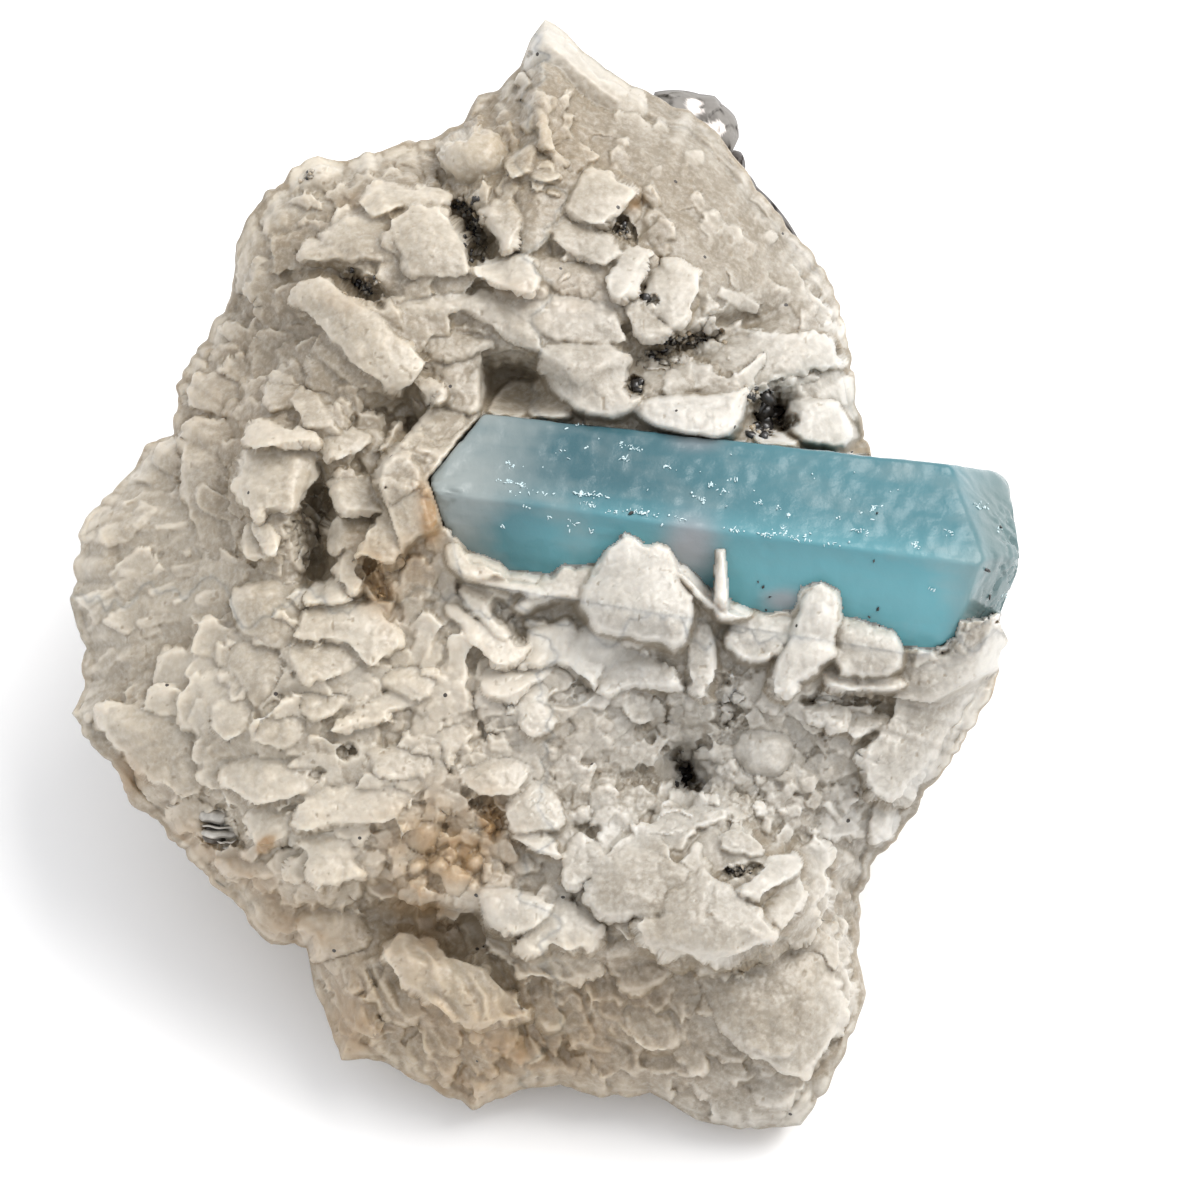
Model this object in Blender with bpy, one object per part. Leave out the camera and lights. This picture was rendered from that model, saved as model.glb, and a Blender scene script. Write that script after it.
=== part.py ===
"""Aquamarine crystal lying across a lump of white albite, with its smoky quartz, mica and schorl.

The display face leans back, so it is laid out on a viewing plane: a grid of columns and rows, looked at
from VIEW_ELEVATION above the horizon. Depth is measured from that plane towards the eye.
Lengths are in millimetres until each mesh is finished, and +Z is up.
"""

import math
import random
from collections import namedtuple

import bmesh
import bpy
import numpy as np
from mathutils import Matrix, Vector
from mathutils.bvhtree import BVHTree

MM = 0.001

# Driving dimensions: the viewing plane, in degrees and millimetres.
VIEW_ELEVATION = 55.0
CELL = 0.07
EYE_DISTANCE = 300.0
MIDDLE = 600.0
PLANE_MIDDLE = (4.22, -1.27, 18.7)

# Driving dimensions: the lump of albite.
DOME_HEIGHT = 12.5
DOME_CENTRE = (520.0, 600.0)
RIM_LEAN = 0.12
RIM_SQUARENESS = 4.0
RIM_ROUNDING = 0.6
LEDGE_DROP = 4.0
LEDGE_WIDTH = 26.0
ROUGHNESS = 0.9
BACK_BULGE = 4.5
FRONT_TUCK = -1.2
AROUND = 72
FACE_RINGS = 11
WALL_RINGS = 4
FLAT_ENOUGH = math.radians(7.0)

# Driving dimensions: the aquamarine, a tapering six-sided prism.
PRISM_SIDE = 7.7
PRISM_TAPER = 0.85
PRISM_ROLL = -1.0
PRISM_LEFT = (428.0, 490.0)
PRISM_RIGHT = (1020.0, 569.0)
RIDGE_DEPTH_LEFT = 15.2
RIDGE_DEPTH_RIGHT = 17.2

# Breaks and corners at the prism's ends: each a plane through three points (column, row, depth)
# of the viewing plane. What lies on the far side of it from the prism's middle is broken away.
PRISM_BREAKS = (
    ((490, 406, 10.0), (431, 478, 10.0), (436, 474, 4.0)),
    ((431, 478, 12.0), (456, 560, 12.0), (450, 510, 3.0)),
    ((470, 440, 13.0), (446, 490, 13.0), (436, 480, 8.0)),
    ((984, 464, 12.0), (1013, 493, 12.0), (1016, 486, 4.0)),
    ((1012, 490, 10.0), (1020, 566, 10.0), (1012, 528, 4.0)),
    ((1020, 564, 10.0), (1000, 618, 10.0), (1004, 590, 3.0)),
    ((1002, 616, 10.0), (944, 648, 10.0), (990, 628, 3.0)),
    ((988, 500, 15.6), (990, 600, 15.0), (1014, 548, 10.0)),
)

GAP = 0.35

# The rim of the lump on the viewing plane, clockwise from its peak, as (column, row).
RIM = (
    (545, 20), (567, 32), (583, 52), (605, 72), (640, 87), (690, 112), (735, 158), (772, 206), (799, 242),
    (824, 278), (833, 300), (846, 330), (852, 360), (857, 400), (862, 440), (885, 490), (930, 545), (985, 590),
    (1006, 640), (1000, 668), (988, 702), (972, 732), (960, 752), (934, 782), (914, 805), (900, 842),
    (868, 864), (861, 900), (858, 950), (864, 990), (855, 1022), (847, 1052), (834, 1080), (818, 1104),
    (800, 1124), (750, 1126), (698, 1122), (650, 1092), (600, 1099), (560, 1082), (520, 1090), (472, 1108),
    (430, 1090), (380, 1060), (342, 1058), (326, 1010), (306, 948), (272, 944), (240, 906), (190, 860),
    (150, 816), (128, 790), (98, 750), (70, 714), (86, 688), (84, 645), (74, 596), (78, 548), (88, 518),
    (128, 470), (172, 432), (178, 388), (190, 358), (212, 326), (234, 292), (236, 248), (264, 202),
    (292, 170), (318, 156), (346, 160), (372, 151), (428, 140), (448, 124), (478, 126), (476, 96),
    (498, 88), (520, 66), (530, 40),
)

# Hollows and swells of the display face: height in mm, half widths in cells, turned anticlockwise.
Swell = namedtuple("Swell", "col row half_width half_height turn height")
SWELLS = (
    Swell(140, 560, 110, 130, -20, -4.0),
    Swell(120, 720, 90, 50, -20, -1.5),
    Swell(290, 470, 60, 80, 0, 2.5),
    Swell(420, 240, 150, 75, 10, 2.0),
    Swell(255, 330, 60, 110, -35, -2.5),
    Swell(425, 425, 55, 32, -20, -5.0),
    Swell(316, 530, 17, 65, 0, -5.0),
    Swell(515, 385, 42, 26, -15, -5.5),
    Swell(695, 345, 95, 18, 22, -4.0),
    Swell(774, 412, 26, 24, 0, -6.0),
    Swell(610, 372, 90, 26, -20, 2.2),
    Swell(475, 232, 16, 42, 30, -4.5),
    Swell(362, 287, 26, 12, -28, -4.0),
    Swell(650, 590, 75, 60, 0, 3.4),
    Swell(820, 630, 50, 50, 0, 2.6),
    Swell(690, 760, 120, 55, 10, -2.6),
    Swell(686, 772, 18, 26, 0, -5.0),
    Swell(930, 720, 60, 105, -30, 2.2),
    Swell(450, 850, 60, 45, 0, -1.6),
    Swell(450, 925, 70, 28, 0, -3.0),
    Swell(700, 900, 120, 55, 0, 2.0),
    Swell(450, 1000, 90, 40, -20, 1.6),
    Swell(780, 1000, 90, 70, -40, 2.0),
    Swell(560, 1040, 70, 26, -25, -1.8),
    Swell(380, 950, 30, 60, 20, -1.6),
    Swell(224, 830, 26, 24, 0, -1.6),
)

# The lower edge of the display face, where it breaks away into the underside, as (column, row).
LEDGE = (
    (60, 720), (100, 742), (150, 805), (200, 866), (260, 884), (330, 896), (385, 872), (420, 905),
    (480, 912), (530, 962), (600, 965), (650, 950), (700, 964), (770, 960), (810, 922), (860, 880),
    (930, 860),
)

# Albite crystals that stand out on the display face. Length, width and how proud they stand are in mm,
# turn is anticlockwise on the viewing plane, tilt lifts the far end and roll turns it on its own axis.
Crystal = namedtuple("Crystal", "col row length width proud turn tilt roll")
FACE_CRYSTALS = (
    Crystal(358, 335, 11.6, 4.3, 3.2, -38, 2, -14),
    Crystal(346, 366, 7.4, 3.4, 1.2, -38, 0, -20),
    Crystal(430, 387, 2.2, 1.9, 3.4, -32, 0, 5),
    Crystal(460, 374, 4.4, 3.6, 1.8, -62, 0, 10),
    Crystal(444, 420, 4.6, 3.4, 1.6, -55, 0, 10),
    Crystal(405, 195, 6.6, 2.3, 2.2, -4, 0, 12),
    Crystal(362, 238, 5.6, 3.6, 2.0, 2, 4, -12),
    Crystal(406, 166, 4.0, 2.8, 1.6, 10, 0, 0),
    Crystal(526, 166, 3.2, 2.2, 2.2, 36, 0, 0),
    Crystal(504, 222, 4.6, 3.0, 2.4, 76, 8, 10),
    Crystal(540, 208, 5.6, 3.4, 1.4, 84, 0, -12),
    Crystal(509, 274, 5.4, 2.5, 2.6, 4, 0, -14),
    Crystal(602, 196, 5.2, 3.6, 2.6, -22, 0, 12),
    Crystal(588, 240, 5.6, 2.6, 2.2, -27, 0, -10),
    Crystal(626, 277, 4.6, 2.2, 2.6, 66, 6, 10),
    Crystal(672, 282, 5.2, 4.0, 2.0, 62, 4, -10),
    Crystal(646, 322, 4.0, 3.0, 2.0, 35, 0, 0),
    Crystal(470, 318, 9.4, 3.4, 1.8, -14, 0, 10),
    Crystal(565, 322, 8.6, 5.2, 1.6, -8, 0, 8),
    Crystal(596, 372, 9.0, 3.6, 2.4, -26, 0, -8),
    Crystal(690, 414, 7.8, 3.4, 2.6, -7, 0, 6),
    Crystal(824, 424, 4.2, 4.2, 3.0, -6, 0, 6),
    Crystal(766, 358, 11.0, 2.5, 1.8, 9, 0, 14),
    Crystal(500, 112, 3.2, 2.2, 2.4, 62, 12, 0),
    Crystal(542, 128, 3.6, 2.6, 2.2, 80, 8, 20),
    Crystal(478, 112, 2.2, 1.6, 2.0, 96, 0, 0),
    Crystal(272, 234, 4.2, 3.2, 1.4, 56, 0, 0),
    Crystal(218, 370, 3.8, 3.0, 1.4, 22, 0, 0),
    Crystal(286, 398, 5.0, 3.4, 1.4, -28, 0, 8),
    Crystal(340, 426, 5.2, 3.0, 1.6, 12, 0, -6),
    Crystal(398, 458, 4.2, 3.0, 1.6, 48, 0, 0),
    Crystal(276, 462, 6.6, 4.9, 2.6, 84, 0, -6),
    Crystal(282, 542, 4.4, 3.4, 1.4, -50, 0, 14),
    Crystal(362, 491, 4.5, 2.6, 2.6, -8, 0, 14),
    Crystal(346, 528, 3.6, 2.6, 1.4, 55, 0, 0),
    Crystal(404, 516, 5.8, 3.2, 2.4, 32, 0, -12),
    Crystal(352, 570, 4.6, 3.2, 2.2, 48, 0, -8),
    Crystal(346, 634, 7.4, 4.8, 2.6, -16, 0, -8),
    Crystal(262, 640, 5.4, 5.0, 1.8, 24, 0, 0),
    Crystal(486, 640, 6.9, 2.1, 2.8, -42, 3, -10),
    Crystal(508, 580, 6.4, 1.7, 2.8, -27, 0, -14),
    Crystal(574, 656, 6.2, 2.3, 2.6, -44, 0, -10),
    Crystal(546, 634, 3.2, 2.4, 3.0, 8, 0, 0),
    Crystal(508, 686, 4.9, 2.7, 2.6, -4, 0, -6),
    Crystal(532, 716, 4.3, 2.7, 2.2, 86, 0, 0),
    Crystal(648, 668, 7.4, 2.4, 1.8, -20, 0, 0),
    Crystal(722, 582, 5.4, 1.2, 3.8, 87, 0, 6),
    Crystal(716, 604, 6.8, 2.2, 3.4, -38, 0, 0),
    Crystal(762, 624, 4.6, 2.0, 3.4, 12, 0, 0),
    Crystal(812, 636, 8.0, 3.0, 3.6, 74, 8, 8),
    Crystal(870, 644, 5.2, 3.2, 2.0, -20, 0, 0),
    Crystal(864, 682, 5.8, 1.2, 2.6, 0, 0, 10),
    Crystal(852, 714, 6.8, 1.4, 2.2, -7, 0, 10),
    Crystal(742, 676, 4.4, 3.0, 1.0, 35, 0, 0),
    Crystal(925, 702, 12.0, 5.6, 2.0, 62, 0, -8),
    Crystal(536, 802, 4.0, 3.4, 1.8, 45, 0, 0),
    Crystal(538, 840, 3.8, 2.0, 2.4, -16, 0, 0),
    Crystal(588, 856, 3.6, 3.2, 1.6, 70, 0, 0),
    Crystal(642, 884, 8.0, 5.0, 1.8, 10, 0, -6),
    Crystal(712, 906, 6.8, 5.6, 2.8, -38, 0, -6),
    Crystal(768, 874, 5.2, 1.8, 3.4, 40, 0, 8),
    Crystal(788, 905, 3.4, 2.2, 2.8, 36, 0, 0),
    Crystal(516, 908, 5.4, 3.4, 3.4, -12, 0, -8),
    Crystal(572, 928, 6.2, 3.6, 2.8, -18, 0, -14),
    Crystal(260, 776, 5.6, 4.0, 2.0, 18, 0, -6),
    Crystal(330, 800, 5.8, 3.6, 1.8, -6, 0, 0),
    Crystal(352, 846, 6.2, 2.4, 2.4, 8, 0, -10),
    Crystal(376, 714, 5.6, 3.6, 1.8, 26, 0, -6),
    Crystal(312, 712, 4.0, 3.0, 1.8, 10, 0, 0),
    Crystal(244, 728, 4.2, 3.2, 1.8, 40, 0, 0),
    Crystal(424, 738, 4.4, 3.2, 1.6, 60, 0, 0),
    Crystal(490, 772, 5.2, 3.4, 1.6, 20, 0, 0),
    Crystal(440, 968, 7.8, 4.8, 2.2, -32, 0, -10),
    Crystal(350, 1000, 5.4, 2.4, 1.4, -72, 0, 0),
    Crystal(420, 1044, 5.2, 2.6, 1.4, -60, 0, 0),
    Crystal(664, 1004, 7.0, 5.4, 2.0, -50, 0, -6),
    Crystal(784, 1010, 9.6, 6.4, 2.0, -48, 0, -6),
    Crystal(590, 1010, 5.4, 2.6, 1.4, -38, 0, 0),
    Crystal(700, 1086, 5.2, 3.4, 1.2, 10, 0, 0),
    Crystal(158, 505, 7.2, 5.0, 1.4, 40, 0, -6),
    Crystal(134, 612, 6.8, 3.6, 1.6, 12, 0, -8),
    Crystal(152, 738, 7.0, 4.6, 1.6, -52, 0, -8),
    Crystal(206, 442, 4.6, 3.2, 1.2, 86, 0, 0),
)

SHORT_CRYSTAL = 5.5

# Rounded knobs of albite on the display face, and the pointed peak. Radii are in mm.
Knob = namedtuple("Knob", "col row along across proud turn")
FACE_KNOBS = (
    Knob(552, 76, 3.9, 2.5, 2.8, 82),
    Knob(472, 158, 2.9, 2.4, 2.8, 0),
    Knob(319, 176, 2.0, 1.7, 2.0, 0),
    Knob(366, 170, 1.5, 1.4, 2.0, 0),
    Knob(432, 242, 2.9, 2.4, 2.9, -12),
    Knob(640, 598, 3.5, 3.6, 3.9, 0),
    Knob(822, 600, 1.6, 1.4, 4.2, 0),
    Knob(762, 752, 2.5, 2.2, 2.8, 0),
    Knob(456, 880, 1.3, 1.3, 1.9, 0),
    Knob(432, 836, 1.8, 1.5, 1.7, 30),
    Knob(340, 930, 2.7, 2.3, 1.9, 0),
    Knob(600, 640, 3.0, 2.0, 2.0, 30),
)

# Hidden sides: crystals strewn over the walls, as counts and sizes in mm.
WALL_CRYSTALS = 28
WALL_LENGTHS = (4.5, 9.0)
WALL_SEED = 11

# Smoky quartz under the upper right rim, on the viewing plane, as (column, row).
QUARTZ_OUTLINE = (
    (652, 92), (680, 89), (714, 95), (734, 116), (739, 140), (735, 152), (744, 166), (770, 198), (800, 235),
    (829, 280), (800, 290), (740, 250), (690, 190), (650, 130),
)
QUARTZ_NEAR = 2.6
QUARTZ_FAR = -5.5

# The book of mica in the lower left, in mm.
MICA_PLACE = (223.0, 830.0)
MICA_SIZE = (2.9, 2.4)
MICA_LEAVES = 5
MICA_LEAF = 0.42
MICA_STEP = 0.22
MICA_TURN = -8.0
MICA_PROUD = 1.5

# Schorl in the hollows: half length and half width in mm, and the depth of its top below the face.
Schorl = namedtuple("Schorl", "name col row along across sunk turn")
SCHORLS = (
    Schorl("schorl_right_pit", 770, 408, 1.5, 1.3, -0.5, 30),
    Schorl("schorl_middle_pit", 686, 776, 1.05, 0.9, -0.5, 60),
    Schorl("schorl_groove", 684, 346, 2.6, 0.95, -0.5, 24),
    Schorl("schorl_upper_cleft", 474, 232, 1.8, 0.75, -0.5, -62),
    Schorl("schorl_left_cleft", 364, 287, 1.3, 0.65, -0.5, -28),
)

# The axes of the viewing plane in the part's frame.
_tilt = math.radians(VIEW_ELEVATION)
RIGHTWARD = np.array((1.0, 0.0, 0.0))
UPWARD = np.array((0.0, math.sin(_tilt), math.cos(_tilt)))
EYEWARD = np.array((0.0, -math.cos(_tilt), math.sin(_tilt)))


def spot(col, row, depth):
    """Point in mm that shows at (col, row) of the viewing plane, at that depth towards the eye."""
    reach = CELL * (EYE_DISTANCE - depth) / EYE_DISTANCE
    across = np.expand_dims((np.asarray(col, float) - MIDDLE) * reach, -1)
    up = np.expand_dims((MIDDLE - np.asarray(row, float)) * reach, -1)
    toward = np.expand_dims(np.asarray(depth, float) + 0.0 * reach, -1)
    return np.array(PLANE_MIDDLE) + across * RIGHTWARD + up * UPWARD + toward * EYEWARD


def value_noise(points, seed):
    """Smooth noise from -1 to 1: hashed values at whole-number corners, blended between them."""
    base = np.floor(points)
    part = points - base
    part = part * part * (3 - 2 * part)
    total = np.zeros(points.shape[:-1])
    for corner in np.ndindex(2, 2, 2):
        cell = base + corner
        mixed = np.sin(cell @ np.array((12.9898, 78.233, 37.719)) + seed * 17.17) * 43758.5453
        share = np.prod(np.where(corner, part, 1 - part), axis=-1)
        total += (mixed - np.floor(mixed)) * share
    return 2 * total - 1


def smooth_step(x):
    """0 below 0, 1 above 1, and a smooth rise between."""
    x = np.clip(x, 0.0, 1.0)
    return x * x * (3 - 2 * x)


def rim_radius(angle):
    """Distance in cells from the dome's centre to the rim, at an angle on the viewing plane."""
    rim = np.array(RIM, float) - DOME_CENTRE
    bearings = np.arctan2(-rim[:, 1], rim[:, 0])
    order = np.argsort(bearings)
    return np.interp(angle, bearings[order], np.hypot(*rim.T)[order], period=2 * math.pi)


def rim_depth(row):
    """Depth of the plane that the rim lies in."""
    return -RIM_LEAN * (MIDDLE - np.asarray(row, float)) * CELL


def swells(col, row):
    """The sum of the hollows and swells, each a smooth bell, and the drop at the lower ledge."""
    total = np.zeros(np.broadcast(col, row).shape)
    for s in SWELLS:
        turn = math.radians(s.turn)
        right, up = col - s.col, s.row - row
        along = (right * math.cos(turn) + up * math.sin(turn)) / s.half_width
        across = (-right * math.sin(turn) + up * math.cos(turn)) / s.half_height
        total += s.height * np.exp(-((along**2 + across**2) ** 1.5))
    edge = np.interp(col, *np.array(LEDGE, float).T)
    return total - LEDGE_DROP * smooth_step((row - edge) / LEDGE_WIDTH + 0.5)


def face_depth(col, row):
    """Depth of the lump's display face: the rim's plane, a squarish dome on it, and the swells."""
    col, row = np.asarray(col, float), np.asarray(row, float)
    right, up = col - DOME_CENTRE[0], DOME_CENTRE[1] - row
    share = np.hypot(right, up) / rim_radius(np.arctan2(up, right))
    fall = np.clip(1 - np.clip(share, 0, 1) ** RIM_SQUARENESS, 0, 1) ** RIM_ROUNDING
    return rim_depth(row) + fall * (DOME_HEIGHT + swells(col, row))


def lump_rings():
    """Rings of points from the middle of the display face over the rim, down the wall and under the base."""
    angles = np.arange(AROUND) * 2 * math.pi / AROUND
    radius = rim_radius(angles)
    rings = []
    for i in range(1, FACE_RINGS + 1):
        share = 1 - (1 - i / FACE_RINGS) ** 1.25
        col = DOME_CENTRE[0] + share * radius * np.cos(angles)
        row = DOME_CENTRE[1] - share * radius * np.sin(angles)
        ring = spot(col, row, face_depth(col, row))
        rough = value_noise(ring / 5.0, 1) + 0.6 * value_noise(ring / 2.6, 2)
        inside = 1 - smooth_step((share - 0.9) / 0.1)
        rings.append(ring + np.outer(ROUGHNESS * rough * inside, EYEWARD))
    rim = rings[-1]
    outward = np.stack((np.cos(angles), np.sin(angles), 0 * angles), -1)
    undercut = 0.08 + 0.006 * rim[:, 2] + 0.12 * np.clip(-np.cos(angles), 0, 1)
    foot = rim * (1 - undercut)[:, None]
    foot[:, 2] = 0.0
    bulge = np.where(np.sin(angles) > 0, BACK_BULGE, FRONT_TUCK) * np.clip(rim[:, 2] / 30.0, 0, 1)
    for i in range(1, WALL_RINGS + 1):
        share = i / WALL_RINGS
        ring = rim + (foot - rim) * share
        swell = (bulge + ROUGHNESS * value_noise(ring / 5.0, 3)) * math.sin(math.pi * share)
        rings.append(ring + outward * swell[:, None])
    rings.append(foot * (0.5, 0.5, 1.0))
    return rings


def add_object(name, mesh, material=None):
    """A new object in the scene for this mesh."""
    obj = bpy.data.objects.new(name, mesh)
    bpy.context.scene.collection.objects.link(obj)
    if material:
        mesh.materials.append(material)
    return obj


def mesh_from(bm, name):
    """The bmesh as a mesh in metres, with its faces as triangles that point outwards."""
    bmesh.ops.triangulate(bm, faces=bm.faces)
    bmesh.ops.recalc_face_normals(bm, faces=bm.faces)
    bmesh.ops.scale(bm, vec=(MM, MM, MM), verts=bm.verts)
    mesh = bpy.data.meshes.new(name)
    bm.to_mesh(mesh)
    bm.free()
    return mesh


def lump_mesh():
    """The bare lump: the rings joined by quads, closed at the face's middle and under the base.

    Faces that lie almost in one plane are merged, so that flat stretches stay light."""
    rings = lump_rings()
    top = spot(*DOME_CENTRE, face_depth(*DOME_CENTRE))
    bottom = Vector((0.0, 0.0, 0.0))
    bm = bmesh.new()
    loops = [[bm.verts.new(point) for point in ring] for ring in rings]
    first, last = bm.verts.new(top), bm.verts.new(bottom)
    for i in range(AROUND):
        j = (i + 1) % AROUND
        bm.faces.new((first, loops[0][i], loops[0][j]))
        bm.faces.new((last, loops[-1][j], loops[-1][i]))
        for near, far in zip(loops, loops[1:]):
            bm.faces.new((near[i], far[i], far[j], near[j]))
    bmesh.ops.recalc_face_normals(bm, faces=bm.faces)
    bm.normal_update()
    bmesh.ops.dissolve_limit(bm, angle_limit=FLAT_ENOUGH, verts=bm.verts, edges=bm.edges)
    return mesh_from(bm, "lump")


def frame_at(centre, turn, tilt, roll, along=RIGHTWARD, up=UPWARD, out=EYEWARD):
    """Matrix at centre whose X runs along the crystal and Z towards the eye, turned, tilted and rolled."""
    axes = Matrix([Vector(along), Vector(up), Vector(out)]).transposed().to_4x4()
    spin = (
        Matrix.Rotation(math.radians(turn), 4, "Z")
        @ Matrix.Rotation(-math.radians(tilt), 4, "Y")
        @ Matrix.Rotation(math.radians(roll), 4, "X")
    )
    return Matrix.Translation(Vector(centre)) @ axes @ spin


def crystal_mesh(length, width, thickness, matrix, chance, name="crystal"):
    """A tabular crystal: the hull of a slightly uneven box. A long one has a low roof at each end."""
    bm = bmesh.new()
    for x in (-1, 1):
        for y in (-1, 1):
            for z in (-1, 1):
                reach = 0.42 if length > SHORT_CRYSTAL else 0.48
                size = Vector((reach * length * x, 0.5 * width * y, 0.5 * thickness * z))
                bm.verts.new(Vector([c * chance.uniform(0.88, 1.06) for c in size]))
            if length > SHORT_CRYSTAL:
                bm.verts.new((0.5 * length * x, 0.28 * width * y, chance.uniform(-0.1, 0.2) * thickness))
    hull = bmesh.ops.convex_hull(bm, input=bm.verts)
    inner = [v for v in hull["geom_interior"] if isinstance(v, bmesh.types.BMVert)]
    bmesh.ops.delete(bm, geom=inner, context="VERTS")
    bmesh.ops.transform(bm, matrix=matrix, verts=bm.verts)
    return mesh_from(bm, name)


def knob_mesh(along, across, thickness, matrix, chance):
    """A rounded knob: a squashed ball of 80 faces, slightly uneven."""
    bm = bmesh.new()
    bmesh.ops.create_icosphere(bm, subdivisions=2, radius=1.0)
    for v in bm.verts:
        uneven = chance.uniform(0.9, 1.05)
        v.co = Vector((v.co.x * along, v.co.y * across, v.co.z * thickness)) * uneven
    bmesh.ops.transform(bm, matrix=matrix, verts=bm.verts)
    return mesh_from(bm, "knob")


def face_additions():
    """Meshes of the crystals and knobs that stand out on the display face."""
    sink = 2.6
    for number, c in enumerate(FACE_CRYSTALS):
        chance = random.Random(number)
        thick = c.proud + sink
        centre = spot(c.col, c.row, face_depth(c.col, c.row) + c.proud - thick / 2)
        matrix = frame_at(centre, c.turn, c.tilt, c.roll)
        yield crystal_mesh(c.length, c.width, thick, matrix, chance)
    for number, k in enumerate(FACE_KNOBS):
        chance = random.Random(1000 + number)
        thick = (k.proud + sink) / 2
        centre = spot(k.col, k.row, face_depth(k.col, k.row) + k.proud - thick)
        yield knob_mesh(k.along, k.across, thick, frame_at(centre, k.turn, 0, 0), chance)


def within_rim(points):
    """Whether every one of these points, in mm, shows inside the rim of the display face."""
    offset = points - np.array(PLANE_MIDDLE)
    reach = CELL * (EYE_DISTANCE - offset @ EYEWARD) / EYE_DISTANCE
    right = offset @ RIGHTWARD / reach + MIDDLE - DOME_CENTRE[0]
    up = offset @ UPWARD / reach - MIDDLE + DOME_CENTRE[1]
    return bool(np.all(np.hypot(right, up) < 0.985 * rim_radius(np.arctan2(up, right))))


def wall_additions(lump):
    """Meshes of crystals strewn over the walls that the display face hides, turned at random."""
    chance = random.Random(WALL_SEED)
    walls = [p for p in lump.polygons if p.normal.dot(Vector(EYEWARD)) < 0.05 and p.center.z > 5 * MM]
    weights = [p.area for p in walls]
    made = 0
    while made < WALL_CRYSTALS:
        face = chance.choices(walls, weights)[0]
        out = face.normal
        along = out.orthogonal().normalized()
        length = chance.uniform(*WALL_LENGTHS)
        width, thick = length * chance.uniform(0.45, 0.75), length * 0.45
        matrix = frame_at(
            face.center / MM, chance.uniform(0, 180), chance.uniform(-12, 12), chance.uniform(-15, 15),
            along, out.cross(along), out,
        )
        mesh = crystal_mesh(length, width, thick, matrix, chance)
        if within_rim(np.array([v.co for v in mesh.vertices]) / MM):
            made += 1
            yield mesh


def prism_mesh(grow, name):
    """The aquamarine: a tapering six-sided prism with a slanted left end and a broken right end.

    grow widens it on every side, for the bed that it lies in."""
    roll = math.radians(PRISM_ROLL)
    ends = []
    for (col, row), ridge, scale in (
        (PRISM_LEFT, RIDGE_DEPTH_LEFT, PRISM_TAPER),
        (PRISM_RIGHT, RIDGE_DEPTH_RIGHT, 1.0),
    ):
        side = PRISM_SIDE * scale + grow * 2 / math.sqrt(3)
        ends.append((spot(col, row, ridge) - EYEWARD * PRISM_SIDE * scale, side))
    axis = ends[1][0] - ends[0][0]
    axis /= np.linalg.norm(axis)
    up = np.cross(EYEWARD, axis)
    up /= np.linalg.norm(up)
    out = np.cross(axis, up)
    bm = bmesh.new()
    loops = []
    for (centre, side), way in zip(ends, (-1, 1)):
        corners = []
        for k in range(6):
            angle = roll + k * math.pi / 3
            offset = side * (math.cos(angle) * out + math.sin(angle) * up)
            corners.append(bm.verts.new(centre + offset + way * grow * axis))
        loops.append(corners)
    for k in range(6):
        n = (k + 1) % 6
        bm.faces.new((loops[0][k], loops[0][n], loops[1][n], loops[1][k]))
    bm.faces.new(loops[0])
    bm.faces.new(loops[1])
    bmesh.ops.recalc_face_normals(bm, faces=bm.faces)
    middle = Vector((ends[0][0] + ends[1][0]) / 2)
    for corners in PRISM_BREAKS:
        one, two, three = (Vector(spot(*corner)) for corner in corners)
        normal = (two - one).cross(three - one).normalized()
        if normal.dot(middle - one) > 0:
            normal.negate()
        geometry = bm.verts[:] + bm.edges[:] + bm.faces[:]
        cut = bmesh.ops.bisect_plane(
            bm, geom=geometry, plane_co=one + normal * grow, plane_no=normal, clear_outer=True
        )
        edges = [e for e in cut["geom_cut"] if isinstance(e, bmesh.types.BMEdge)]
        if edges:
            bmesh.ops.edgeloop_fill(bm, edges=edges)
    return mesh_from(bm, name)


def quartz_mesh(grow, name):
    """The smoky quartz: its outline on the viewing plane, carried from near to far, slightly narrower behind."""
    outline = np.array(QUARTZ_OUTLINE, float)
    middle = outline.mean(0)
    away = outline - middle
    outline = outline + away / np.linalg.norm(away, axis=1, keepdims=True) * grow / CELL
    bm = bmesh.new()
    loops = []
    for depth, share in ((QUARTZ_FAR - grow, 0.9), (0.0, 1.0), (QUARTZ_NEAR + grow, 0.94)):
        around = middle + (outline - middle) * share
        level = rim_depth(around[:, 1]) + depth
        loops.append([bm.verts.new(p) for p in spot(around[:, 0], around[:, 1], level)])
    count = len(outline)
    for near, far in zip(loops, loops[1:]):
        for k in range(count):
            n = (k + 1) % count
            bm.faces.new((near[k], near[n], far[n], far[k]))
    bm.faces.new(loops[0])
    bm.faces.new(loops[-1])
    return mesh_from(bm, name)


def seen_depth(surface, col, row):
    """Depth of the surface that the eye meets at (col, row)."""
    start, end = Vector(spot(col, row, 60.0)) * MM, Vector(spot(col, row, -20.0)) * MM
    hit = surface.ray_cast(start, end - start)[0]
    return (hit / MM - Vector(PLANE_MIDDLE)).dot(Vector(EYEWARD))


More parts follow.
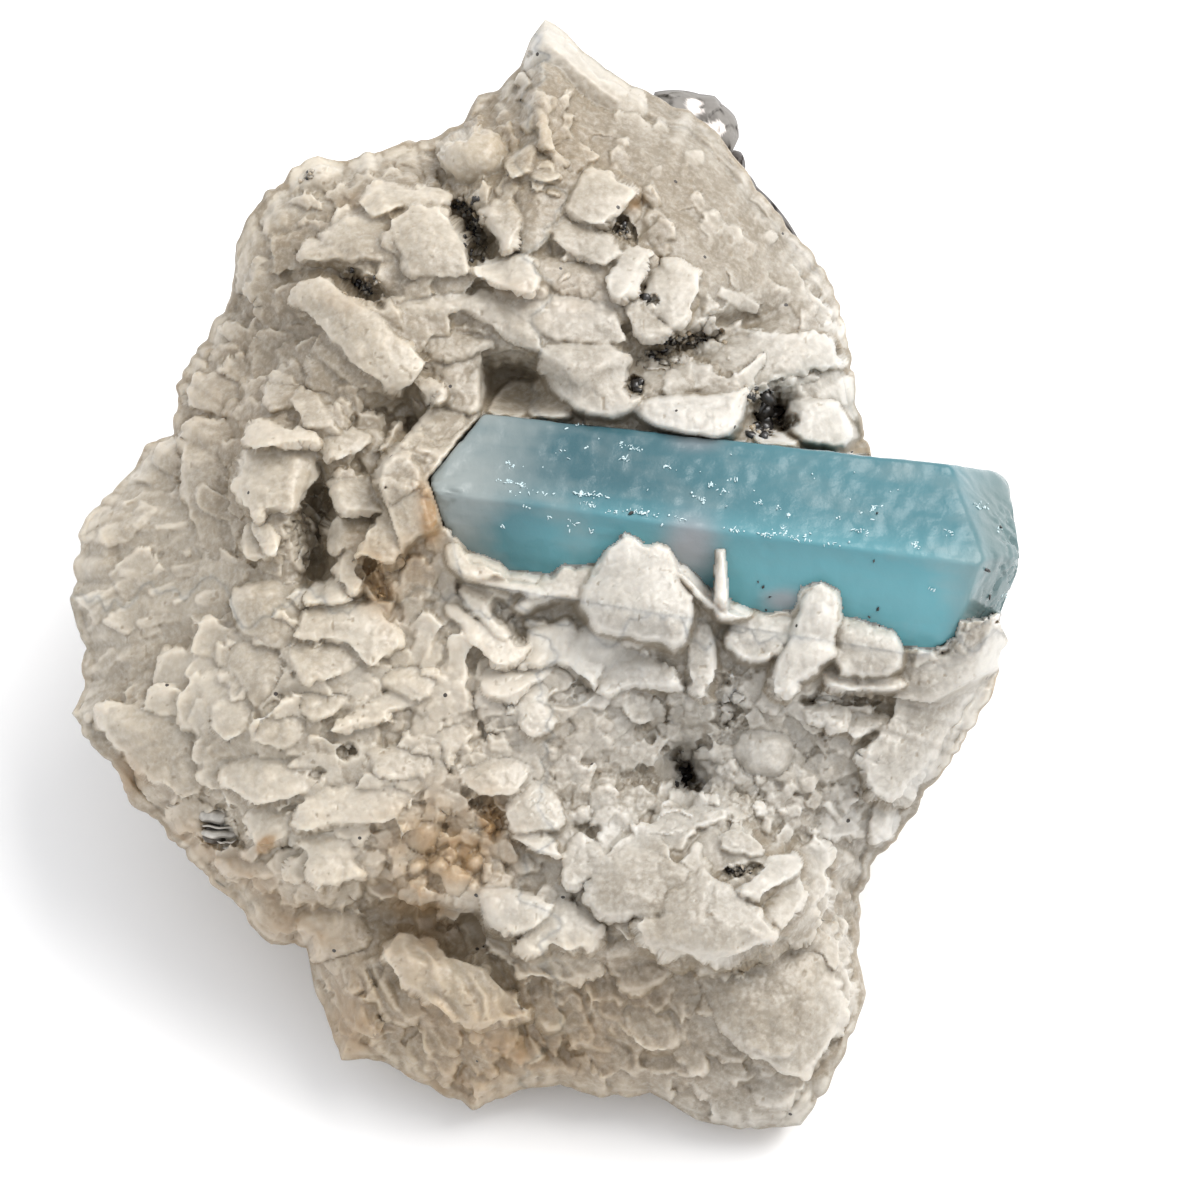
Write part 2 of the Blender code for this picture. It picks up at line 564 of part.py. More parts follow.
def mica_mesh(top, grow, name):
    """The book of mica: leaves stacked along its height, every other one set back, as one solid."""
    length, width = MICA_SIZE
    height = MICA_LEAVES * MICA_LEAF
    matrix = frame_at(spot(*MICA_PLACE, top - width / 2), MICA_TURN, 0, 0)
    bm = bmesh.new()
    if grow:
        size = (length + 2 * grow, height + 2 * grow, width + 2 * grow + 1.0)
        bmesh.ops.create_cube(bm, size=1.0)
        bmesh.ops.scale(bm, vec=size, verts=bm.verts)
    else:
        levels = [(i * MICA_LEAF - height / 2, (i % 2) * MICA_STEP) for i in range(MICA_LEAVES)]
        half = [(y, back) for low, back in levels for y, back in ((low, back), (low + MICA_LEAF, back))]
        outline = [(length / 2 - back, y) for y, back in half]
        outline += [(-length / 2 + back, y) for y, back in reversed(half)]
        face = bm.faces.new([bm.verts.new((x, y, -width / 2)) for x, y in outline])
        pushed = bmesh.ops.extrude_face_region(bm, geom=[face])["geom"]
        moved = [v for v in pushed if isinstance(v, bmesh.types.BMVert)]
        bmesh.ops.translate(bm, vec=(0, 0, width), verts=moved)
    bmesh.ops.transform(bm, matrix=matrix, verts=bm.verts)
    return mesh_from(bm, name)


def schorl_mesh(s, top, grow, name):
    """A grain of schorl: an uneven, rather flat-sided knob whose top lies at that depth."""
    chance = random.Random(s.name)
    thick = 1.1
    centre = spot(s.col, s.row, top - thick)
    bm = bmesh.new()
    bmesh.ops.create_icosphere(bm, subdivisions=1, radius=1.0)
    for v in bm.verts:
        uneven = chance.uniform(0.8, 1.05)
        sides = (s.along * uneven + grow, s.across * uneven + grow, thick * uneven + grow)
        v.co = Vector([c * side for c, side in zip(v.co, sides)])
    bmesh.ops.transform(bm, matrix=frame_at(centre, s.turn, 0, 0), verts=bm.verts)
    return mesh_from(bm, name)


def helper_collection(name, meshes):
    """Meshes as hidden helper objects in a collection of their own, for a Boolean."""
    collection = bpy.data.collections.new(name)
    bpy.context.scene.collection.children.link(collection)
    for number, mesh in enumerate(meshes):
        obj = bpy.data.objects.new(f"{name}_{number}", mesh)
        obj.hide_render = True
        obj.display_type = "WIRE"
        collection.objects.link(obj)
    return collection


def keep_largest_body(mesh):
    """Drops chips that a cut has set loose from the main body."""
    bm = bmesh.new()
    bm.from_mesh(mesh)
    bmesh.ops.remove_doubles(bm, verts=bm.verts, dist=0.002 * MM)
    bmesh.ops.dissolve_degenerate(bm, edges=bm.edges, dist=0.002 * MM)
    unseen = set(bm.verts)
    bodies = []
    while unseen:
        body, edge = set(), [unseen.pop()]
        while edge:
            vert = edge.pop()
            body.add(vert)
            for link in vert.link_edges:
                other = link.other_vert(vert)
                if other in unseen:
                    unseen.discard(other)
                    edge.append(other)
        bodies.append(body)
    bodies.sort(key=len)
    loose = [vert for body in bodies[:-1] for vert in body]
    bmesh.ops.delete(bm, geom=loose, context="VERTS")
    bmesh.ops.triangulate(bm, faces=bm.faces)
    bm.to_mesh(mesh)
    bm.free()


def material(name, colour, roughness, transmission=0.0, metallic=0.0, ior=1.5):
    """A plain Principled material."""
    made = bpy.data.materials.new(name)
    made.use_nodes = True
    shader = made.node_tree.nodes["Principled BSDF"]
    shader.inputs["Base Color"].default_value = (*colour, 1.0)
    shader.inputs["Roughness"].default_value = roughness
    shader.inputs["Transmission Weight"].default_value = transmission
    shader.inputs["Metallic"].default_value = metallic
    shader.inputs["IOR"].default_value = ior
    return made


def bake(obj, operation, meshes):
    """Joins the meshes to obj, or cuts them away, and keeps the outcome as obj's own mesh."""
    helpers = helper_collection(operation, meshes)
    modifier = obj.modifiers.new(operation, "BOOLEAN")
    modifier.operation = operation
    modifier.operand_type = "COLLECTION"
    modifier.collection = helpers
    modifier.solver = "EXACT"
    bpy.context.view_layer.update()
    graph = bpy.context.evaluated_depsgraph_get()
    finished = bpy.data.meshes.new_from_object(obj.evaluated_get(graph))
    obj.modifiers.clear()
    obj.data = finished
    for helper in list(helpers.objects):
        bpy.data.objects.remove(helper)
    keep_largest_body(finished)


def build():
    """Clears the scene and models the specimen."""
    for obj in list(bpy.data.objects):
        bpy.data.objects.remove(obj)
    albite = material("albite", (0.80, 0.77, 0.72), 0.6)
    aqua = material("aquamarine", (0.30, 0.62, 0.70), 0.12, transmission=0.8, ior=1.58)
    smoky = material("smoky_quartz", (0.28, 0.27, 0.27), 0.2, transmission=0.4, ior=1.54)
    mica = material("mica", (0.62, 0.61, 0.58), 0.25, metallic=0.3)
    black = material("schorl", (0.02, 0.02, 0.02), 0.25)

    bare = lump_mesh()
    matrix = add_object("albite_matrix", bare)
    bake(matrix, "UNION", [*face_additions(), *wall_additions(bare)])
    seen = BVHTree.FromObject(matrix, bpy.context.evaluated_depsgraph_get())
    tops = {s.name: seen_depth(seen, s.col, s.row) - s.sunk for s in SCHORLS}
    mica_top = seen_depth(seen, *MICA_PLACE) + MICA_PROUD
    beds = [prism_mesh(GAP, "prism_bed"), quartz_mesh(GAP, "quartz_bed")]
    beds += [mica_mesh(mica_top, GAP, "mica_bed")]
    beds += [schorl_mesh(s, tops[s.name], GAP, "schorl_bed") for s in SCHORLS]
    bake(matrix, "DIFFERENCE", beds)
    matrix.data.materials.clear()
    matrix.data.materials.append(albite)
    add_object("aquamarine_crystal", prism_mesh(0.0, "prism"), aqua)
    add_object("smoky_quartz", quartz_mesh(0.0, "quartz"), smoky)
    add_object("mica_book", mica_mesh(mica_top, 0.0, "mica"), mica)
    for s in SCHORLS:
        add_object(s.name, schorl_mesh(s, tops[s.name], 0.0, s.name), black)


build()
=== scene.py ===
# %% [markdown]
# # An aquamarine on albite
# One blue prism lies across a hand-sized lump of white feldspar. We load the measured frame first, and
# keep its box, to print it beside the finished piece's box at the end.

# %% Load the frame
import math
from collections import namedtuple

import bpy
import numpy as np
from mathutils import Matrix, Vector


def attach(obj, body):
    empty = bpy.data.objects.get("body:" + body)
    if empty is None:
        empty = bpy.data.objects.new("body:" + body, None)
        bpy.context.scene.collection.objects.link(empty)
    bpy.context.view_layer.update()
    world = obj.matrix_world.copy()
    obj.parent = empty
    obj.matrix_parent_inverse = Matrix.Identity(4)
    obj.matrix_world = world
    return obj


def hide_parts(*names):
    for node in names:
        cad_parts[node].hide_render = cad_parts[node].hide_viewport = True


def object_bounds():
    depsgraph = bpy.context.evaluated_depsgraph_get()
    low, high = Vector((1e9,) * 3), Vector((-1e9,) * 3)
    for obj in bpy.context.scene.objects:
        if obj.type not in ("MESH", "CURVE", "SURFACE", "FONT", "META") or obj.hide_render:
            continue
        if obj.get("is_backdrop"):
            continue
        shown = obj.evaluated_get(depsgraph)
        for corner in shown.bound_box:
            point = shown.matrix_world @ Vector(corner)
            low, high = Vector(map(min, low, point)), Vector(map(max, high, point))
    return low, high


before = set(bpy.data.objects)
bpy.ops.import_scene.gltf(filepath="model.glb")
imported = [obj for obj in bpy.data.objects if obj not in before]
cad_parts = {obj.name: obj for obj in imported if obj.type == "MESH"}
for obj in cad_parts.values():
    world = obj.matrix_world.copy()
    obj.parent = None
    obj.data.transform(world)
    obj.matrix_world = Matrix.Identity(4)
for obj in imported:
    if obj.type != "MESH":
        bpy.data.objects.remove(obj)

measured_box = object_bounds()
MM = 0.001
print("nodes:", sorted(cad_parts))

# %% [markdown]
# ## The viewing plane
# The specimen shows one face, which leans back. It is easiest to lay out on a plane that faces the eye:
# columns run to the right, rows run down, and depth comes towards the eye. One step is 0.07 mm. Other
# ways are to sculpt by hand or to scan, but then no number could be changed afterwards.

# %% Columns, rows and depth
VIEW_ELEVATION = math.radians(55.0)
CELL = 0.07
EYE_DISTANCE = 300.0
MIDDLE = 600.0
PLANE_MIDDLE = np.array((4.22, -1.27, 18.7))
RIGHTWARD = np.array((1.0, 0.0, 0.0))
UPWARD = np.array((0.0, math.sin(VIEW_ELEVATION), math.cos(VIEW_ELEVATION)))
EYEWARD = np.array((0.0, -math.cos(VIEW_ELEVATION), math.sin(VIEW_ELEVATION)))


def spot(col, row, depth):
    """Points in mm: the plane's middle, plus the steps right and up, which shrink towards the eye as
    depth grows, plus the depth itself."""
    col, row, depth = (np.asarray(value, float) for value in (col, row, depth))
    reach = CELL * (EYE_DISTANCE - depth) / EYE_DISTANCE
    across = ((col - MIDDLE) * reach)[..., None]
    up = ((MIDDLE - row) * reach)[..., None]
    return PLANE_MIDDLE + across * RIGHTWARD + up * UPWARD + depth[..., None] * EYEWARD


def seen_at(points):
    """The way back: column, row and depth of points in mm."""
    offset = points - PLANE_MIDDLE
    depth = offset @ EYEWARD
    reach = CELL * (EYE_DISTANCE - depth) / EYE_DISTANCE
    return MIDDLE + offset @ RIGHTWARD / reach, MIDDLE - offset @ UPWARD / reach, depth


print("back and forth:", [round(float(v), 3) for v in seen_at(spot(700.0, 300.0, 5.0))])

# %% [markdown]
# ## Camera, floor and light
# The camera stands where the eye of the viewing plane is, with a long lens, so the picture has almost
# no perspective. A broad lamp from the upper right leaves the soft shadow at the lower left, and a pale
# surround fills the rest, as in a light tent.

# %% Camera
camera = bpy.data.objects.new("camera", bpy.data.cameras.new("camera"))
bpy.context.scene.collection.objects.link(camera)
turned = Matrix([Vector(RIGHTWARD), Vector(UPWARD), Vector(EYEWARD)]).transposed().to_4x4()
turned.translation = Vector((PLANE_MIDDLE + EYE_DISTANCE * EYEWARD) * MM)
camera.matrix_world = turned
camera.data.sensor_width = 36.0
camera.data.lens = 36.0 * EYE_DISTANCE / (1200 * CELL)
camera.data.clip_start = 0.01
bpy.context.scene.camera = camera
print("lens in mm:", round(camera.data.lens, 1))


# %% Plain materials
def principled(name, **inputs):
    """A material with one Principled shader, whose sockets are set by name."""
    made = bpy.data.materials.new(name)
    made.use_nodes = True
    shader = made.node_tree.nodes["Principled BSDF"]
    for socket, value in inputs.items():
        shader.inputs[socket.replace("_", " ")].default_value = value
    return made


# %% Floor
floor_mesh = bpy.data.meshes.new("floor")
FLOOR_REACH = 1.2
floor_corners = [(x * FLOOR_REACH, y * FLOOR_REACH, 0) for x, y in ((-1, -1), (1, -1), (1, 1), (-1, 1))]
floor_mesh.from_pydata(floor_corners, [], [(0, 1, 2, 3)])
floor = bpy.data.objects.new("floor", floor_mesh)
bpy.context.scene.collection.objects.link(floor)
floor_mesh.materials.append(principled("white_paper", Base_Color=(0.93, 0.93, 0.935, 1.0), Roughness=0.9))
floor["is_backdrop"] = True
print("floor side in m:", 2 * FLOOR_REACH)


# %% Lights
def lamp(name, place, size, power, colour=(1, 1, 1)):
    """A square area lamp at place (mm) that faces the specimen."""
    data = bpy.data.lights.new(name, "AREA")
    data.size, data.energy, data.color = size, power, colour
    obj = bpy.data.objects.new(name, data)
    obj.location = Vector(place) * MM
    aim = Vector((0, 0, 0.02)) - obj.location
    obj.rotation_euler = aim.to_track_quat("-Z", "Y").to_euler()
    bpy.context.scene.collection.objects.link(obj)
    return obj


lamp("key_lamp", (310, 110, 540), 0.42, 3.7, (1.0, 0.98, 0.95))
world = bpy.data.worlds.new("light_tent")
bpy.context.scene.world = world
world.use_nodes = True
world.node_tree.nodes["Background"].inputs["Color"].default_value = (0.97, 0.98, 1.0, 1.0)
world.node_tree.nodes["Background"].inputs["Strength"].default_value = 1.05
bpy.context.scene.view_settings.view_transform = "Standard"

# %% [markdown]
# ## Noise and crystal facets
# Rock never repeats. Two small functions give every piece its irregularity: smooth value noise, and
# cells that each have their own slant, which reads as a crowd of small crystals. A third, the bell, marks a
# soft spot where something is stronger or weaker.


# %% Noise
def hashed(cells, seed):
    """One number from 0 to 1 for each whole-number cell: the fraction of a large sine."""
    mixed = np.sin(cells @ np.array((12.9898, 78.233, 37.719)) + seed * 17.17) * 43758.5453
    return mixed - np.floor(mixed)


def value_noise(points, seed):
    """Smooth noise from -1 to 1: hashed values at whole-number corners, blended between them."""
    base = np.floor(points)
    part = points - base
    part = part * part * (3 - 2 * part)
    total = np.zeros(points.shape[:-1])
    for corner in np.ndindex(2, 2, 2):
        total += hashed(base + corner, seed) * np.prod(np.where(corner, part, 1 - part), axis=-1)
    return 2 * total - 1


def facets(points, seed, lean=0.6):
    """Facets of a crowd of crystals: each point takes the height of its nearest jittered cell centre, a
    random step plus a random slope times the way from that centre. Also gives the way to the cell's edge."""
    base = np.floor(points)
    nearest = np.full(points.shape[:-1], 9.0)
    second = nearest.copy()
    height = np.zeros(points.shape[:-1])
    for corner in np.ndindex(3, 3, 3):
        cell = base + np.array(corner) - 1
        jitter = np.stack([hashed(cell, seed + k) for k in (1, 2, 3)], -1)
        away = points - cell - 0.1 - 0.8 * jitter
        gap = np.sqrt((away**2).sum(-1))
        slope = np.stack([hashed(cell, seed + k) for k in (4, 5, 6)], -1) - 0.5
        own = hashed(cell, seed + 7) - 0.5 + 2 * lean * (away * slope).sum(-1)
        closer = gap < nearest
        second = np.where(closer, nearest, np.minimum(second, gap))
        height = np.where(closer, own, height)
        nearest = np.where(closer, gap, nearest)
    return height, second - nearest


def smooth_step(x):
    """0 below 0, 1 above 1, and a smooth rise between."""
    x = np.clip(x, 0.0, 1.0)
    return x * x * (3 - 2 * x)


def bell(cols, rows, col, row, half_width, half_height, sharpness=1.0):
    """A soft spot: one in its middle, and e to the minus of the squared way out, itself raised to the
    sharpness, around it."""
    out = ((cols - col) / half_width) ** 2 + ((rows - row) / half_height) ** 2
    return np.exp(-(out**sharpness))


sample = value_noise(np.random.default_rng(1).random((1000, 3)) * 50, 1)
print("noise runs from", round(float(sample.min()), 2), "to", round(float(sample.max()), 2))

# %% [markdown]
# ## The lump of albite
# Albite grew here as blocks and blades, all locked together. The lump is laid out from its rim, a dome
# that fills it, and named hollows and swells. These are the same numbers as the solid has.

# %% Rim, dome and swells
DOME_HEIGHT = 12.5
DOME_CENTRE = np.array((520.0, 600.0))
RIM_LEAN, RIM_SQUARENESS, RIM_ROUNDING = 0.12, 4.0, 0.6
LEDGE_DROP, LEDGE_WIDTH = 4.0, 26.0
RIM = np.array((
    (545, 20), (567, 32), (583, 52), (605, 72), (640, 87), (690, 112), (735, 158), (772, 206), (799, 242),
    (824, 278), (833, 300), (846, 330), (852, 360), (857, 400), (862, 440), (885, 490), (930, 545), (985, 590),
    (1006, 640), (1000, 668), (988, 702), (972, 732), (960, 752), (934, 782), (914, 805), (900, 842),
    (868, 864), (861, 900), (858, 950), (864, 990), (855, 1022), (847, 1052), (834, 1080), (818, 1104),
    (800, 1124), (750, 1126), (698, 1122), (650, 1092), (600, 1099), (560, 1082), (520, 1090), (472, 1108),
    (430, 1090), (380, 1060), (342, 1058), (326, 1010), (306, 948), (272, 944), (240, 906), (190, 860),
    (150, 816), (128, 790), (98, 750), (70, 714), (86, 688), (84, 645), (74, 596), (78, 548), (88, 518),
    (128, 470), (172, 432), (178, 388), (190, 358), (212, 326), (234, 292), (236, 248), (264, 202),
    (292, 170), (318, 156), (346, 160), (372, 151), (428, 140), (448, 126), (464, 121), (471, 106), (478, 95),
    (498, 88), (520, 66), (530, 40),
), float)
Swell = namedtuple("Swell", "col row half_width half_height turn height")
SWELLS = (
    Swell(140, 560, 110, 130, -20, -4.0), Swell(120, 720, 90, 50, -20, -1.5),
    Swell(290, 470, 60, 80, 0, 2.5), Swell(420, 240, 150, 75, 10, 2.0),
    Swell(255, 330, 60, 110, -35, -2.5), Swell(425, 425, 55, 32, -20, -5.0),
    Swell(316, 530, 17, 65, 0, -5.0), Swell(515, 385, 42, 26, -15, -5.5),
    Swell(695, 345, 95, 18, 22, -4.0), Swell(774, 412, 26, 24, 0, -6.0),
    Swell(610, 372, 90, 26, -20, 2.2), Swell(475, 232, 16, 42, 30, -4.5),
    Swell(362, 287, 26, 12, -28, -4.0), Swell(650, 590, 75, 60, 0, 3.4),
    Swell(820, 630, 50, 50, 0, 2.6), Swell(690, 760, 120, 55, 10, -2.6),
    Swell(686, 772, 18, 26, 0, -5.0), Swell(930, 720, 60, 105, -30, 2.2),
    Swell(450, 850, 60, 45, 0, -1.6), Swell(450, 925, 70, 28, 0, -3.0),
    Swell(700, 900, 120, 55, 0, 2.0), Swell(450, 1000, 90, 40, -20, 1.6),
    Swell(780, 1000, 90, 70, -40, 2.0), Swell(560, 1040, 70, 26, -25, -1.8),
    Swell(380, 950, 30, 60, 20, -1.6), Swell(224, 830, 26, 24, 0, -1.6),
)
LEDGE = np.array((
    (60, 720), (100, 742), (150, 805), (200, 866), (260, 884), (330, 896), (385, 872), (420, 905),
    (480, 912), (530, 962), (600, 965), (650, 950), (700, 964), (770, 960), (810, 922), (860, 880),
    (930, 860),
), float)


def turned_by(col, row, centre_col, centre_row, degrees):
    """Steps along and across a direction turned anticlockwise on the plane, from a centre."""
    right, up = col - centre_col, centre_row - row
    c, s = math.cos(math.radians(degrees)), math.sin(math.radians(degrees))
    return right * c + up * s, up * c - right * s


def rim_radius(bearing):
    """Distance from the dome's centre to the rim at a bearing: the outline's own corners, joined
    straight, with a fine nibble inwards so that the edge looks broken."""
    away = (RIM - DOME_CENTRE) * (1, -1)
    bearings = np.arctan2(away[:, 1], away[:, 0])
    order = np.argsort(bearings)
    smooth = np.interp(bearing, bearings[order], np.hypot(*away.T)[order], period=2 * math.pi)
    around = np.stack((np.cos(bearing), np.sin(bearing), 0 * bearing), -1)
    lobe = 9.0 * np.abs(value_noise(around * 13, 31)) + 4.0 * np.abs(value_noise(around * 34, 32))
    return smooth - 4.5 + lobe


def rim_level(col, row):
    """Depth of the rim's leaning plane, plus a swing to and fro that fades towards the dome's centre."""
    right, up = col - DOME_CENTRE[0], DOME_CENTRE[1] - row
    bearing = np.arctan2(up, right)
    around = np.stack((np.cos(bearing), np.sin(bearing), 0 * bearing), -1)
    share = np.clip(np.hypot(right, up) / rim_radius(bearing), 0, 1)
    return -RIM_LEAN * (MIDDLE - row) * CELL + 1.3 * value_noise(around * 6, 37) * share**6


def bare_depth(col, row):
    """Depth of the face without crystals: the rim's level, a squarish dome on it, the sum of the
    bell-shaped swells, and the drop at the lower ledge."""
    right, up = col - DOME_CENTRE[0], DOME_CENTRE[1] - row
    share = np.hypot(right, up) / rim_radius(np.arctan2(up, right))
    fall = np.clip(1 - np.clip(share, 0, 1) ** RIM_SQUARENESS, 0, 1) ** RIM_ROUNDING
    total = np.zeros(np.broadcast(col, row).shape)
    for s in SWELLS:
        along, across = turned_by(col, row, s.col, s.row, s.turn)
        total += s.height * bell(along, across, 0, 0, s.half_width, s.half_height, 1.5)
    drop = LEDGE_DROP * smooth_step((row - np.interp(col, *LEDGE.T)) / LEDGE_WIDTH + 0.5)
    return rim_level(col, row) + fall * (DOME_HEIGHT + total - drop)


# %% [markdown]
# The face itself is a grid of depths, one for each crossing of a column and a row. We mark how far out each
# point lies as a share of the rim's radius. Two places on the real piece, the sheet at the upper right and
# the shelf at the left, are calmer than the rest, so their relief is turned down.

# %% The face's grid
STEP = 1.45
cols, rows = np.meshgrid(np.arange(62, 1014, STEP), np.arange(12, 1134, STEP))
bare = bare_depth(cols, rows)
places = spot(cols, rows, bare)
shares = np.hypot(cols - DOME_CENTRE[0], rows - DOME_CENTRE[1]) / rim_radius(
    np.arctan2(DOME_CENTRE[1] - rows, cols - DOME_CENTRE[0])
)
smooth_sheet = bell(cols, rows, 700, 190, 120, 110, 2)
left_shelf = bell(cols, rows, 140, 600, 80, 150, 2)
calm = 1 - 0.7 * np.maximum(smooth_sheet, left_shelf)
inner = 1 - smooth_step((shares - 0.9) / 0.1)
bare = bare + inner * (0.8 * value_noise(places / 5.0, 1) + 0.4 * value_noise(places / 2.6, 2))
crowd = 0.5 * facets(places / 3.6, 21, 0.8)[0] + 0.45 * np.abs(value_noise(places / 1.3, 33))
crowd = inner * calm * crowd
print("grid of", cols.shape, "points,", int((shares < 1).sum()), "on the face")

# %% [markdown]
# ## Where the aquamarine lies
# The prism is an overlap of half-spaces: six sides, and eight breaks at its ends. Seen from the eye, each
# line of sight enters it at one depth and leaves at another. The rock must stay behind the far one, and
# along a ragged contact line it comes up in front of the near one.

# %% The prism's planes
PRISM_SIDE, PRISM_TAPER, PRISM_ROLL = 7.7, 0.85, math.radians(-1.0)
PRISM_ENDS = ((428.0, 490.0, 15.2, PRISM_TAPER), (1020.0, 569.0, 17.2, 1.0))
PRISM_BREAKS = (
    ((490, 406, 10.0), (431, 478, 10.0), (436, 474, 4.0)),
    ((431, 478, 12.0), (456, 560, 12.0), (450, 510, 3.0)),
    ((984, 464, 12.0), (1013, 493, 12.0), (1016, 486, 4.0)),
    ((1012, 490, 10.0), (1020, 566, 10.0), (1012, 528, 4.0)),
    ((1020, 564, 10.0), (1000, 618, 10.0), (1004, 590, 3.0)),
    ((1002, 616, 10.0), (944, 648, 10.0), (990, 628, 3.0)),
    ((955, 475, 13.5), (983, 558, 16.9), (1018, 505, 8.5)),
    ((983, 562, 16.9), (955, 640, 13.7), (1014, 600, 8.5)),
)
end_centres = [spot(c, r, ridge) - EYEWARD * PRISM_SIDE * s for c, r, ridge, s in PRISM_ENDS]
prism_middle = (end_centres[0] + end_centres[1]) / 2
axis = end_centres[1] - end_centres[0]
axis /= np.linalg.norm(axis)
prism_up = np.cross(EYEWARD, axis)
prism_up /= np.linalg.norm(prism_up)
prism_out = np.cross(axis, prism_up)


def prism_corner(end, k):
    """One corner of the six-sided outline at an end of the prism."""
    angle = PRISM_ROLL + k * math.pi / 3
    side = PRISM_SIDE * PRISM_ENDS[end][3]
    return end_centres[end] + side * (math.cos(angle) * prism_out + math.sin(angle) * prism_up)


def plane_through(one, two, three):
    """Unit normal and offset of the plane through three points, facing away from the prism's middle."""
    normal = np.cross(two - one, three - one)
    normal /= np.linalg.norm(normal)
    if normal @ (prism_middle - one) > 0:
        normal = -normal
    return normal, normal @ one


prism_sides = [
    plane_through(prism_corner(0, k), prism_corner(0, k + 1), prism_corner(1, k)) for k in range(6)
]
prism_breaks = [plane_through(*(spot(*corner) for corner in corners)) for corners in PRISM_BREAKS]
PLANES = prism_sides + prism_breaks


def prism_span(col, row, grow=0.0):
    """Depth where the line of sight enters and leaves the prism: the least depth over the planes that
    face the eye, and the greatest over those that face away. It misses where the first is behind."""
    start = spot(col, row, 0.0)
    step = spot(col, row, 1.0) - start
    near, far = np.full(start.shape[:-1], 99.0), np.full(start.shape[:-1], -99.0)
    for normal, offset in PLANES:
        slope = step @ normal
        cut = (offset + grow - start @ normal) / np.where(np.abs(slope) < 1e-6, 1e-6, slope)
        near = np.where(slope > 0, np.minimum(near, cut), near)
        far = np.where(slope > 0, far, np.maximum(far, cut))
    return near, far


gap = -0.08 - 0.42 * smooth_step((cols - 915) / 25) - 0.3 * smooth_step((465 - cols) / 20)
near, far = prism_span(cols, rows)
grown_near, grown_far = prism_span(cols, rows, gap)
in_prism, in_trough = near > far, grown_near > grown_far
print("the prism covers", int(in_prism.sum()), "points; its near side runs from",
      round(float(near[in_prism].min()), 1), "to", round(float(near[in_prism].max()), 1))

# %% [markdown]
# The rock meets the prism along a ragged line. Below it the rock comes up on an apron that follows the
# prism's own surface, so no dark gap is left. Blurring the depths there fills holes that are too narrow.

# %% The contact line
def blurred(field, cells):
    """A box blur, twice: running sums along one axis and then the other."""
    for _ in range(2):
        for way in (0, 1):
            size = 2 * cells + 1
            wide = np.pad(field, [(size, size) if k == way else (0, 0) for k in (0, 1)], mode="edge")
            total = np.cumsum(wide, axis=way)
            span = field.shape[way]
            upper = np.take(total, np.arange(span) + size + cells, axis=way)
            lower = np.take(total, np.arange(span) + size - cells - 1, axis=way)
            field = (upper - lower) / size
    return field


CONTACT = np.array((
    (424, 470), (438, 530), (457, 538), (470, 552), (500, 562), (510, 573), (550, 575), (565, 568),
    (595, 567), (603, 556), (615, 543), (625, 534), (638, 540), (650, 545), (668, 545), (678, 562),
    (690, 570), (706, 586), (713, 590), (716, 550), (725, 549), (729, 600), (745, 608), (765, 613),
    (790, 612), (797, 604), (800, 590), (822, 584), (840, 592), (842, 615), (865, 623), (895, 632),
    (904, 648), (942, 652), (955, 640), (960, 622), (985, 618), (1000, 618), (1030, 618),
), float)
wobble = 2.2 * value_noise(places / 0.9, 41) + 1.2 * value_noise(places / 0.4, 42)
below = (rows + wobble - np.interp(cols + 0.6 * wobble, *CONTACT.T)) * CELL
bed = np.where(in_prism, near, -99.0)
for grow in (1.0, 2.0, 3.0):
    apron, apron_far = prism_span(cols, rows, grow)
    bed = np.where(apron > apron_far, np.maximum(bed, apron - 1.3 * grow), bed)
shelf = bed + 0.35 + 0.5 * np.clip(below / 2.0, 0, 1)
shelf = shelf - 2.2 * (1 - smooth_step((rows - 400) / 60)) * (cols < 480)
covers = (below > 0.3) | (in_prism & (below > -0.4)) | (~in_prism & (cols < 480))
bare = np.where(covers & (bed > -50), np.maximum(bare, shelf), bare)
for _ in range(3):
    bare = np.where((below > 0.05) & (cols > 900), np.maximum(bare, blurred(bare, 4) - 0.5), bare)
print("rock stands in front of the prism at", int((in_prism & (below > 0)).sum()), "points")

# %% [markdown]
# ## Crystals on the face
# Each albite crystal shows as a plate with a slightly ragged outline, rounded edges and steep sides. It
# could be a mesh of its own, but crystals that grew together have one skin. So every crystal is drawn into
# a field of depths, and the nearest surface wins. There are two such fields: one for the crowd of small
# crystals, and one for the large ones that give the piece its look.

# %% Layers and one plate
bends = np.stack([0.22 * value_noise(places / 1.5, seed) for seed in (11, 13)])
lobes = 0.75 * np.abs(value_noise(places / 1.9, 15)) + 0.3 * np.abs(value_noise(places / 0.62, 16))
ragged = np.concatenate((bends, lobes[None] - lobes.mean()))
Layer = namedtuple("Layer", "depths tones polish covered")
Plate = namedtuple("Plate", "col row length width proud turn tilt roll tone round rise")


def new_layer(first_depths, first_tones):
    """A layer to draw crystals into, with no polish and nothing covered yet."""
    return Layer(first_depths, first_tones, np.ones(cols.shape), np.zeros(cols.shape, bool))


crowd_layer = new_layer(bare + crowd, 0.36 + 0.12 * value_noise(places / 3.0, 15))
named_layer = new_layer(np.full(cols.shape, -50.0), np.zeros(cols.shape))
SIDE_SLOPE = 6.0
print("ragged fields:", ragged.shape, "from", ragged.min().round(2), "to", ragged.max().round(2))


def window(col, row, reach):
    """The part of the grid that lies within reach steps of a place, as two slices."""
    first = (row - reach - rows[0, 0]) / STEP, (col - reach - cols[0, 0]) / STEP
    last = (row + reach - rows[0, 0]) / STEP, (col + reach - cols[0, 0]) / STEP
    return tuple(slice(max(int(low), 0), max(int(high), 0)) for low, high in zip(first, last))


def melt(one, two, blend=0.16):
    """The larger of two heights, with a small fillet where they meet: the larger plus a logarithm that
    fades as they part."""
    return np.maximum(one, two) + blend * np.log1p(np.exp(-np.abs(one - two) / blend))


